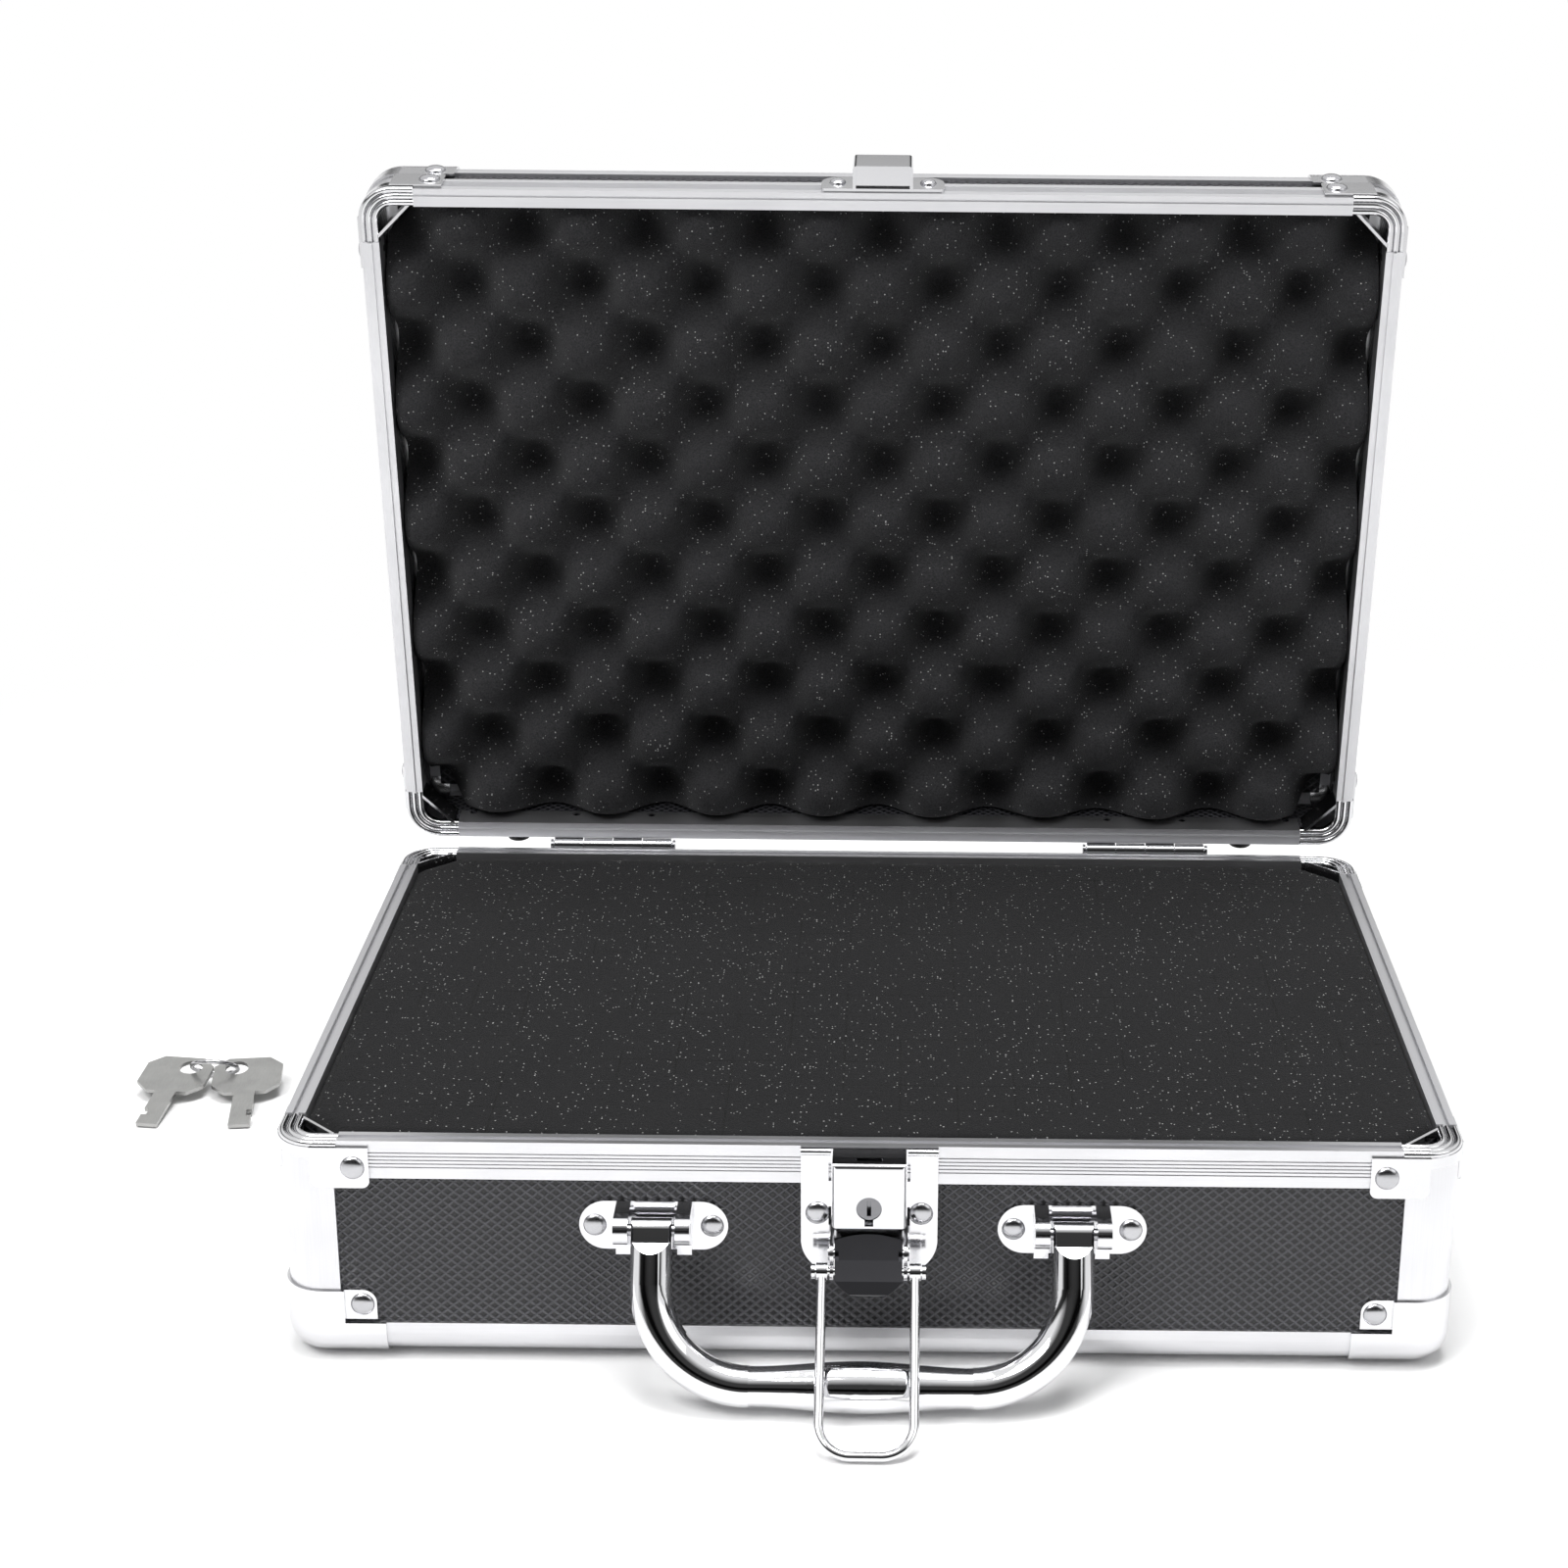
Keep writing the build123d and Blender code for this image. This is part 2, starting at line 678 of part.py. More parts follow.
keep(hinge_leaf(False), "base_hinge_leaves")
keep(hinge_leaf(True), "lid_hinge_leaves", lid_rest)

with BuildPart() as hinge_pins:
    for side in (-1, 1):
        centre_x = side * hinge_spacing / 2
        half_pin = hinge_width / 2 + knuckle_gap
        add(cross_pin(hinge_y, hinge_z, hinge_pin_radius, centre_x - half_pin, centre_x + half_pin))
        for end in (-1, 1):
            tip = centre_x + end * half_pin
            add(cross_pin(hinge_y, hinge_z, hinge_pin_head_radius, tip, tip + end * hinge_pin_head_thickness))
keep(hinge_pins.part, "hinge_pins")
keep(rivets(hinge_points, (0, 1, 0), hinge_rivet_head, wall_build), "base_hinge_rivets")
keep(rivets(lid_hinge_points, (0, 1, 0), hinge_rivet_head, wall_build), "lid_hinge_rivets", lid_rest)


def rubber_feet(seat_y, z, height):
    """Two conical rubber feet on a back wall."""
    with BuildPart() as feet:
        for side in (-1, 1):
            base = Plane(origin=(side * foot_spacing / 2, seat_y, z), z_dir=(0, 1, 0))
            with BuildSketch(base):
                Circle(foot_base_radius)
            with BuildSketch(base.offset(height)):
                Circle(foot_tip_radius)
            loft()
    return feet.part


base_foot_z = (cap_skin + edge_flange + base_height - rim_face_height) / 2
lid_foot_z = closed_height - (cap_skin + edge_flange + lid_height - rim_face_height) / 2
keep(rubber_feet(board_face_y, base_foot_z, foot_height + trim_skin), "base_feet")
keep(rubber_feet(half_depth, lid_foot_z, foot_height), "lid_feet", lid_rest)

# Handle brackets: a riveted plate with two straps looped over the pivot pin
handle_pivot_y = -(board_face_y + handle_pivot_out)
bracket_front_y = -board_face_y - bracket_thickness
strap_radius = handle_pin_radius + strap_wall


def handle_bracket(side):
    """Stadium plate on the board, with two straps that loop over the pivot pin and end below the plate."""
    centre_x = handle_offset + side * handle_spacing / 2
    strap_top = handle_pivot_height + strap_radius
    strap_end = handle_pivot_height - strap_radius - strap_foot
    with BuildPart() as bracket:
        with BuildSketch(Plane.XZ.offset(board_face_y)):
            with Locations((centre_x, bracket_centre_height)):
                SlotOverall(bracket_width, bracket_height)
        extrude(amount=bracket_thickness)
        add(drilling(bracket_points, (0, -1, 0)), mode=Mode.SUBTRACT)
        for hand in (-1, 1):
            start = centre_x + hand * (strap_gap + strap_width) / 2 - strap_width / 2
            with BuildSketch(Plane.YZ.offset(start)):
                with BuildLine():
                    RadiusArc((handle_pivot_y, strap_top), (handle_pivot_y, strap_top - 2 * strap_radius),
                              -strap_radius)
                    Polyline((handle_pivot_y, strap_top - 2 * strap_radius),
                             (bracket_front_y - strap_thickness, strap_end + strap_foot / 2),
                             (bracket_front_y - strap_thickness, strap_end),
                             (bracket_front_y, strap_end), (bracket_front_y, strap_top),
                             (handle_pivot_y, strap_top))
                make_face()
                with Locations((handle_pivot_y, handle_pivot_height)):
                    Circle(handle_pin_radius + running_fit, mode=Mode.SUBTRACT)
            extrude(amount=strap_width)
    return bracket.part


keep(handle_bracket(-1), "left_handle_bracket")
keep(handle_bracket(1), "right_handle_bracket")
keep(rivets(bracket_points, (0, -1, 0), bracket_rivet_head, bracket_thickness + board_thickness), "bracket_rivets")

with BuildPart() as handle_pins:
    for side in (-1, 1):
        centre_x = handle_offset + side * handle_spacing / 2
        half_pin = strap_gap / 2 + strap_width
        add(cross_pin(handle_pivot_y, handle_pivot_height, handle_pin_radius, centre_x - half_pin, centre_x + half_pin))
keep(handle_pins.part, "handle_pins")

# Handle: a bow of chromed tube with a swelling grip, drawn hanging from its pivots, then swung to rest
leg_x = handle_spacing / 2
grip_end_x = leg_x - handle_bend_radius
bend_z = handle_bend_radius - handle_drop
lug_half = handle_eye_thickness / 2
with BuildPart() as handle_leg:
    with BuildSketch(Plane.XY.offset(bend_z)):
        with Locations((-leg_x, 0)):
            Circle(handle_leg_radius)
    extrude(amount=lug_half - bend_z)
    # the top of the leg is flattened into a lug with sloping shoulders
    with BuildSketch(Plane.YZ.offset(-leg_x - handle_eye_width / 2)):
        with Locations((0, 0)):
            Circle(lug_half)
        with BuildLine():
            Polyline((-lug_half, 0), (-lug_half, -lug_half), (-handle_leg_radius, -handle_shoulder),
                     (-handle_leg_radius, bend_z), (handle_leg_radius, bend_z),
                     (handle_leg_radius, -handle_shoulder), (lug_half, -lug_half), (lug_half, 0), close=True)
        make_face()
    extrude(amount=handle_eye_width, mode=Mode.INTERSECT)
    add(cross_pin(0, 0, handle_pin_radius + running_fit, -leg_x - handle_eye_width, -leg_x + handle_eye_width),
        mode=Mode.SUBTRACT)
with BuildPart() as handle:
    add(handle_leg.part)
    # bend from the leg into the grip
    with BuildSketch(Plane.XY.offset(bend_z)):
        with Locations((-leg_x, 0)):
            Circle(handle_leg_radius)
            Rectangle(handle_eye_width, 2 * handle_leg_radius, mode=Mode.INTERSECT)
    revolve(axis=Axis((-grip_end_x, 0, bend_z), (0, -1, 0)), revolution_arc=90)
    # half of the swelling grip
    with BuildSketch(Plane.XZ):
        with BuildLine():
            bulge = Spline((-grip_end_x, handle_eye_width / 2 - handle_drop),
                           (-grip_end_x / 2, (handle_eye_width / 2 + handle_grip_radius) / 2 - handle_drop),
                           (0, handle_grip_radius - handle_drop),
                           tangents=((1, 0), (1, 0)))
            Polyline((0, handle_grip_radius - handle_drop), (0, -handle_drop), (-grip_end_x, -handle_drop),
                     (-grip_end_x, handle_eye_width / 2 - handle_drop))
        make_face()
    revolve(axis=Axis((0, 0, -handle_drop), (1, 0, 0)))
    mirror(about=Plane.YZ)
handle_sine = (handle_pivot_height - handle_grip_radius - rest_gap) / handle_drop
handle_rest_angle = math.degrees(math.asin(handle_sine))
handle_place = Location((handle_offset, handle_pivot_y, handle_pivot_height), (handle_rest_angle - 90, 0, 0))
keep(handle.part, "handle", handle_place)

# Latch plate: a shield of sheet with a raised lock box, rolled lips, and ears that run down into lugs
box_front_y = -(half_depth + plate_thickness + box_out)
pivot_y = -(half_depth + lever_pivot_out)
pivot_z = lever_pivot_height
lever_axle_y = pivot_y - axle_out
lever_axle_z = pivot_z - axle_drop
ear_inner = lever_width / 2 + ear_gap
with BuildPart() as latch_plate:
    with BuildSketch(Plane.XZ.offset(half_depth)):
        with BuildLine():
            right_side = Line((plate_width / 2, plate_top), (plate_width / 2, plate_shoulder))
            right_curve = ThreePointArc((plate_width / 2, plate_shoulder),
                                        (plate_toe_width / 2 + plate_curve, (plate_shoulder + plate_bottom) / 2 - 0.6),
                                        (plate_toe_width / 2, plate_bottom))
            Line((plate_toe_width / 2, plate_bottom), (-plate_toe_width / 2, plate_bottom))
            mirror(right_side, about=Plane.YZ)
            mirror(right_curve, about=Plane.YZ)
            Line((-plate_width / 2, plate_top), (plate_width / 2, plate_top))
        make_face()
        with Locations((0, plate_bottom)):
            Rectangle(lever_width, pivot_z - ear_radius - plate_bottom, align=(Align.CENTER, Align.MIN),
                      mode=Mode.SUBTRACT)
        # slots beside the box
        slot_x = box_width / 2 + side_slot_width
        with Locations((-slot_x, box_top - side_slot_length), (slot_x, box_top - side_slot_length),
                       (-slot_x, box_bottom), (slot_x, box_bottom)):
            Rectangle(side_slot_width, side_slot_length, mode=Mode.SUBTRACT)
    extrude(amount=plate_thickness)
    # lock box
    with BuildSketch(Plane.XZ.offset(half_depth + plate_thickness)):
        with Locations((0, box_bottom)):
            Rectangle(box_width, box_top - box_bottom, align=(Align.CENTER, Align.MIN))
    extrude(amount=box_out)
    box_front = latch_plate.faces().filter_by(Axis.Y).sort_by(Axis.Y)[0]
    fillet(box_front.edges().sort_by(Axis.Z)[1:], radius=box_fillet)
    with BuildSketch(Plane.XZ.offset(half_depth + plate_thickness)):
        with Locations((0, box_bottom)):
            Rectangle(box_width - 2 * box_wall, box_top - box_wall - box_bottom, align=(Align.CENTER, Align.MIN))
    extrude(amount=box_out - box_wall, mode=Mode.SUBTRACT)
    # keyhole with its keyway, and the slot in the top of the box
    with BuildSketch(Plane.XZ.offset(-box_front_y)):
        with Locations((0, keyhole_height)):
            Circle(keyhole_radius)
        with Locations((0, keyhole_height)):
            Rectangle(keyway_width, keyhole_height - box_bottom - keyway_end, align=(Align.CENTER, Align.MAX))
    extrude(amount=-box_wall * 1.5, mode=Mode.SUBTRACT)
    with BuildSketch(Plane.XY.offset(box_top)):
        with Locations((0, box_front_y + box_out / 2)):
            SlotOverall(box_slot_width, box_slot_depth)
    extrude(amount=-box_wall * 1.5, mode=Mode.SUBTRACT)
    # ears that carry the lever pin and, in the lugs below it, the bail's axle
    for hand in (-1, 1):
        inner = hand * ear_inner
        with BuildSketch(Plane.YZ.offset(inner)):
            with Locations((pivot_y, pivot_z)):
                Circle(ear_radius)
            with Locations((-half_depth - plate_thickness, pivot_z)):
                Rectangle(lever_pivot_out - plate_thickness, 2 * ear_radius, align=(Align.MAX, Align.CENTER))
            with Locations((lever_axle_y, lever_axle_z)):
                Circle(lug_radius)
            with Locations((-half_depth - plate_thickness, lever_axle_z)):
                Rectangle(-half_depth - plate_thickness - lever_axle_y, 2 * lug_radius, align=(Align.MAX, Align.CENTER))
            with Locations((pivot_y, pivot_z)):
                Circle(lever_pin_radius + running_fit, mode=Mode.SUBTRACT)
            with Locations((lever_axle_y, lever_axle_z)):
                Circle(axle_radius + running_fit, mode=Mode.SUBTRACT)
        extrude(amount=hand * ear_thickness)
        # rolled lip along the top edge beside the box
        lip_start = hand * (plate_width / 2 - plate_lip_length)
        add(cross_pin(-half_depth - plate_thickness, plate_top - plate_lip_radius, plate_lip_radius,
                      lip_start, hand * plate_width / 2))
    add(drilling(latch_points, (0, -1, 0)), mode=Mode.SUBTRACT)
keep(latch_plate.part, "latch_plate")
keep(rivets(latch_points, (0, -1, 0), rivet_head_radius, plate_thickness + board_thickness), "latch_rivets")

# Lock barrel with its key slot and cam
barrel_front_y = box_front_y + barrel_recess
barrel_radius = keyhole_radius - running_fit
with BuildPart() as lock_barrel:
    with BuildSketch(Plane.XZ.offset(-barrel_front_y)):
        with Locations((0, keyhole_height)):
            Circle(barrel_radius)
    extrude(amount=-barrel_length)
    with BuildSketch(Plane.XZ.offset(-barrel_front_y)):
        with Locations((0, keyhole_height)):
            Rectangle(keyslot_width, keyslot_length)
    extrude(amount=-keyslot_depth, mode=Mode.SUBTRACT)
    with BuildSketch(Plane.XZ.offset(-barrel_front_y - barrel_length + cam_thickness)):
        with Locations((0, keyhole_height)):
            Rectangle(cam_reach, cam_width, align=(Align.MIN, Align.CENTER))
    extrude(amount=-cam_thickness)
keep(lock_barrel.part, "lock_barrel")

# Lever pin through the ears
pin_end = ear_inner + ear_thickness
with BuildPart() as lever_pin:
    add(cross_pin(pivot_y, pivot_z, lever_pin_radius, -pin_end, pin_end))
    for hand in (-1, 1):
        add(cross_pin(pivot_y, pivot_z, ear_radius - ear_thickness, hand * pin_end, hand * (pin_end + pin_head)))
keep(lever_pin.part, "lever_pin")

# Lever: a bent channel on the pin, its front skin arched at the top and rolled out at the bottom
lever_half = lever_width / 2


def lever_plane(across):
    """The lever's own side view at a distance across, its origin on the pin."""
    return Plane(origin=(across, pivot_y, pivot_z), x_dir=(0, 1, 0), z_dir=(1, 0, 0))


with BuildPart() as latch_lever:
    with BuildSketch(lever_plane(-lever_half)):
        with BuildLine():
            Polyline((-lever_skin_top, lever_top_rise), (-lever_fold_out, lever_fold_z),
                     (-lever_knee_out, -lever_knee_drop), (-lever_lip_out, -lever_lip_drop),
                     (-lever_lip_out + lever_skin * 0.7, -lever_lip_drop - lever_skin * 0.7),
                     (-lever_knee_out + lever_skin, -lever_knee_drop - lever_skin * 0.5),
                     (-lever_fold_out + lever_skin, lever_fold_z - lever_skin * 0.1),
                     (-lever_skin_top + lever_skin, lever_top_rise), close=True)
        make_face()
    extrude(amount=lever_width)
    # the top edge is arched and the lip's corners are rounded off, seen from the front
    with BuildSketch(Plane.XZ.offset(half_depth)):
        with BuildLine():
            ThreePointArc((-lever_half, pivot_z + lever_top_rise - lever_arch),
                          (0, pivot_z + lever_top_rise + 0.01),
                          (lever_half, pivot_z + lever_top_rise - lever_arch))
            Line((lever_half, pivot_z + lever_top_rise - lever_arch), (lever_half, pivot_z - lever_knee_drop))
            ThreePointArc((lever_half, pivot_z - lever_knee_drop), (0, pivot_z - lever_lip_drop - lever_skin),
                          (-lever_half, pivot_z - lever_knee_drop))
            Line((-lever_half, pivot_z - lever_knee_drop), (-lever_half, pivot_z + lever_top_rise - lever_arch))
        make_face()
    extrude(amount=lever_pivot_out + 2 * lever_lip_out, mode=Mode.INTERSECT)
    for hand in (-1, 1):
        with BuildSketch(lever_plane(hand * lever_half)):
            Circle(ear_radius)
            with BuildLine():
                Polyline((-lever_skin_top + lever_skin / 2, lever_top_rise - lever_arch - lever_skin / 2),
                         (-lever_fold_out + lever_skin / 2, lever_fold_z),
                         (-lever_fold_out, -lever_cheek_low), (0, -lever_cheek_drop), (ear_radius, 0), close=True)
            make_face()
        extrude(amount=-hand * lever_skin)
    add(cross_pin(pivot_y, pivot_z, lever_pin_radius + running_fit, -lever_width, lever_width), mode=Mode.SUBTRACT)
keep(latch_lever.part, "latch_lever")

# Bail axle, carried by the latch plate's lugs
cap_start = axle_half_length - axle_cap_thickness
with BuildPart() as bail_axle:
    add(cross_pin(lever_axle_y, lever_axle_z, axle_radius, -axle_half_length, axle_half_length))
    for hand in (-1, 1):
        add(cross_pin(lever_axle_y, lever_axle_z, axle_cap_radius, hand * cap_start, hand * axle_half_length))
keep(bail_axle.part, "bail_axle")

# Bail: a loop of wire with an eye at each end, drawn hanging from its axle, then swung to rest
wire_top = -axle_radius - running_fit - bail_eye_wall / 2
crown_z = bail_wire_radius - bail_length
with BuildPart() as bail:
    with BuildLine() as loop:
        FilletPolyline((-bail_half_width, 0, wire_top), (-bail_half_width, 0, crown_z),
                       (bail_half_width, 0, crown_z), (bail_half_width, 0, wire_top), radius=bail_crown_radius)
    with BuildSketch(Plane.XY.offset(wire_top)):
        with Locations((-bail_half_width, 0)):
            Circle(bail_wire_radius)
    sweep()
    for hand in (-1, 1):
        middle = hand * bail_half_width
        add(cross_pin(0, 0, axle_radius + running_fit + bail_eye_wall, middle - bail_eye_half,
                      middle + bail_eye_half))
    add(cross_pin(0, 0, axle_radius + running_fit, -axle_half_length, axle_half_length), mode=Mode.SUBTRACT)
bail_sine = (lever_axle_z - bail_wire_radius - 2 * rest_gap) / -crown_z
bail_rest_angle = math.degrees(math.asin(bail_sine))
keep(bail.part, "latch_bail", Location((0, lever_axle_y, lever_axle_z), (bail_rest_angle - 90, 0, 0)))

# Catch on the lid: a riveted wing plate with a raised hat that the bail hooks over
catch_bottom = base_height + seam_gap + catch_edge_gap
with BuildPart() as catch:
    with BuildSketch(Plane.XZ.offset(half_depth)) as wings:
        with Locations((0, catch_bottom)):
            Rectangle(catch_width, catch_height, align=(Align.CENTER, Align.MIN))
        fillet(wings.vertices().group_by(Axis.Y)[-1], radius=catch_wing_radius)
        fillet(wings.vertices().group_by(Axis.Y)[0], radius=catch_wing_radius / 5)
    extrude(amount=catch_thickness)
    with BuildSketch(Plane.XZ.offset(half_depth)):
        with Locations((0, catch_bottom)):
            Rectangle(hat_width, catch_height, align=(Align.CENTER, Align.MIN))
    extrude(amount=hat_out)
    hat_front = catch.faces().filter_by(Axis.Y).sort_by(Axis.Y)[0]
    fillet(hat_front.edges().filter_by(Axis.Z), radius=hat_fillet)
    hollow = hat_width - 2 * hat_wall
    with BuildSketch(Plane.XZ.offset(half_depth)):
        with Locations((0, catch_bottom + 2 * hat_wall + hat_recess)):
            Rectangle(hollow, catch_height - 3 * hat_wall - hat_recess, align=(Align.CENTER, Align.MIN))
    extrude(amount=hat_out - hat_wall, mode=Mode.SUBTRACT)
    with BuildSketch(Plane.XY.offset(catch_bottom)):
        with Locations((0, -half_depth - catch_thickness)):
            Rectangle(hollow, hat_out - catch_thickness - hat_wall, align=(Align.CENTER, Align.MAX))
    extrude(amount=hat_recess, mode=Mode.SUBTRACT)
    add(drilling(catch_points, (0, -1, 0)), mode=Mode.SUBTRACT)
keep(catch.part, "lid_catch", lid_rest)
keep(rivets(catch_points, (0, -1, 0), catch_rivet_head, catch_thickness + board_thickness), "catch_rivets", lid_rest)


# Keys: two flat stamped keys on a wire ring, their bows propped on the ring and their tips on the floor
def flat_key(hand):
    """One key, drawn flat with the ring's line through its hole; the blade points to -Y."""
    hole_x = hand * key_ring_radius
    bow_top = key_hole_edge - key_sag
    bow_bottom = bow_top - key_bow_length
    tip = bow_top - key_length
    with BuildPart() as key:
        with BuildSketch() as outline:
            with Locations((hole_x + hand * key_bow_shift, bow_top)):
                Rectangle(key_bow_width, key_bow_length, align=(Align.CENTER, Align.MAX))
            chamfer(outline.vertices(), length=key_bow_width / 5)
            with Locations((hole_x + hand * key_bow_shift, bow_bottom + 1)):
                Rectangle(key_blade_width, bow_bottom + 1 - tip, align=(Align.CENTER, Align.MAX))
            with Locations((hole_x + hand * (key_bow_shift + key_blade_width / 2), tip + key_blade_width)):
                Rectangle(key_blade_width / 2, key_blade_width / 2, mode=Mode.SUBTRACT)
            with Locations((hole_x, -key_sag)):
                Circle(key_hole_radius, mode=Mode.SUBTRACT)
        extrude(amount=key_thickness / 2, both=True)
    return key.part


ring_top = key_ring_radius * math.sin(math.radians(key_ring_tilt)) + key_ring_wire
key_reach = key_length - key_hole_edge + key_sag
key_tilt = math.degrees(math.asin((ring_top - key_thickness / 2 - rest_gap) / key_reach))
key_pose = Location((key_place_x, key_place_y, ring_top))
with BuildPart() as key_ring:
    with BuildSketch(Plane.YZ):
        with Locations((key_ring_radius, 0)):
            Circle(key_ring_wire)
    revolve(axis=Axis.Z)
keep(key_ring.part, "key_ring", key_pose * Location((0, 0, 0), (-key_ring_tilt, 0, 0)))
for hand, label in ((-1, "left_key"), (1, "right_key")):
    spread = Location((hand * key_ring_radius, 0, 0), (0, 0, hand * key_spread)) * Location((-hand * key_ring_radius, 0, 0))
    keep(flat_key(hand), label, key_pose * Location((0, 0, 0), (key_tilt, 0, 0)) * spread)
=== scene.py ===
import logging
import math
from dataclasses import dataclass, field
from enum import Enum
from typing import Callable, Sequence

import bmesh
import bpy
from mathutils import Matrix, Vector


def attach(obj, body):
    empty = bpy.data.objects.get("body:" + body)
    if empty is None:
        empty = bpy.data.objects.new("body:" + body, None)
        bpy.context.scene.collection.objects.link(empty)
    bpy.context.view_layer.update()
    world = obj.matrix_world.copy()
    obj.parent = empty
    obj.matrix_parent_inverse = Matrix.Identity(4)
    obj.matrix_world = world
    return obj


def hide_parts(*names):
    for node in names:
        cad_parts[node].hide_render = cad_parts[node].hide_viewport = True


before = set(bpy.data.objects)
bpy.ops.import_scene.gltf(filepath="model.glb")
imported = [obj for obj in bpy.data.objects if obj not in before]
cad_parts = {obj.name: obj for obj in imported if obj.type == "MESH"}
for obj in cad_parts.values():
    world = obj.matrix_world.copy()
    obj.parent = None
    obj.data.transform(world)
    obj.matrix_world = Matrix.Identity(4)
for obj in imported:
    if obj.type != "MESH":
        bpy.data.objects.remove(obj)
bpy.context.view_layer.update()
log = logging.getLogger("tool_case")

MM = 0.001
Point = tuple[float, float, float]


class Wall(Enum):
    """Which way a board faces, as the two axes that its dimple pattern runs along."""

    FRONT = ("X", "Z")
    SIDE = ("Y", "Z")
    LEVEL = ("X", "Y")


class Run(Enum):
    """The direction that the fine lines of a drawn or brushed metal follow."""

    ALONG_X = (1.0, 0.0, 0.0)
    ALONG_Y = (0.0, 1.0, 0.0)
    ALONG_Z = (0.0, 0.0, 1.0)
    NONE = (0.0, 0.0, 0.0)


@dataclass(frozen=True)
class CaseSizes:
    """Sizes of the closed case that several sub-assemblies share, in millimetres."""

    half_width: float = 150.0
    half_depth: float = 105.0
    closed_height: float = 90.3
    hinge_y: float = 107.6
    hinge_z: float = 62.65
    lid_open: float = 81.85

    def lid_rest(self) -> Matrix:
        """Returns the turn that opens the lid from its closed place to the pictured one."""
        pivot = Matrix.Translation((0, self.hinge_y * MM, self.hinge_z * MM))
        turn = Matrix.Rotation(math.radians(-self.lid_open), 4, "X")
        return pivot @ turn @ pivot.inverted()

    def lid_tray(self) -> Matrix:
        """Returns the place of the lid tray, which is drawn standing on its own top with its rim up."""
        flip = Matrix.Rotation(math.pi, 4, "X")
        return self.lid_rest() @ Matrix.Translation((0, 0, self.closed_height * MM)) @ flip


def srgb(code: str) -> tuple[float, float, float, float]:
    """Turns a hex sRGB colour into a linear one.

    Args:
        code: six hex digits, such as "8A8D91".

    Returns:
        The linear colour with an alpha of 1.
    """
    parts = [int(code[i:i + 2], 16) / 255 for i in (0, 2, 4)]
    linear = [p / 12.92 if p <= 0.04045 else ((p + 0.055) / 1.055) ** 2.4 for p in parts]
    return (*linear, 1.0)


def add_node(tree: bpy.types.NodeTree, kind: str, inputs: dict | None = None,
             **settings: object) -> bpy.types.Node:
    """Adds one shader node with its settings and links.

    Args:
        tree: the node tree.
        kind: the node's type name.
        inputs: values, or output sockets to link from, by input name or number.
        settings: attributes of the node.

    Returns:
        The new node.
    """
    made = tree.nodes.new(kind)
    for key, value in settings.items():
        setattr(made, key, value)
    for socket, value in (inputs or {}).items():
        if isinstance(value, bpy.types.NodeSocket):
            tree.links.new(value, made.inputs[socket])
        else:
            made.inputs[socket].default_value = value
    return made


def new_material(name: str) -> tuple[bpy.types.Material, bpy.types.NodeTree, bpy.types.Node]:
    """Starts a material and returns it with its tree and its main shader."""
    made = bpy.data.materials.new(name)
    made.use_nodes = True
    tree = made.node_tree
    return made, tree, tree.nodes["Principled BSDF"]


def math_node(tree: bpy.types.NodeTree, operation: str, *values: object) -> bpy.types.NodeSocket:
    """Adds one sum of the pattern and returns its result."""
    return add_node(tree, "ShaderNodeMath", dict(enumerate(values)), operation=operation).outputs[0]


def noise(tree: bpy.types.NodeTree, place: bpy.types.NodeSocket, size_mm: float,
          detail: float = 2.0) -> bpy.types.NodeSocket:
    """Adds plain noise whose lumps have a real size and returns its value."""
    return add_node(tree, "ShaderNodeTexNoise", {
        "Vector": place, "Scale": 1 / (size_mm * MM), "Detail": detail}).outputs[0]


def blend(tree: bpy.types.NodeTree, factor: bpy.types.NodeSocket, first: object,
          second: object) -> bpy.types.NodeSocket:
    """Adds a mix of two colours and returns it."""
    return add_node(tree, "ShaderNodeMix", {"Factor": factor, "A": first, "B": second},
                    data_type="RGBA").outputs["Result"]


def relief(tree: bpy.types.NodeTree, height: bpy.types.NodeSocket, strength: float,
           depth_mm: float) -> bpy.types.NodeSocket:
    """Adds a bump of a real depth and returns its normal."""
    return add_node(tree, "ShaderNodeBump", {
        "Height": height, "Strength": strength, "Distance": depth_mm * MM}).outputs[0]


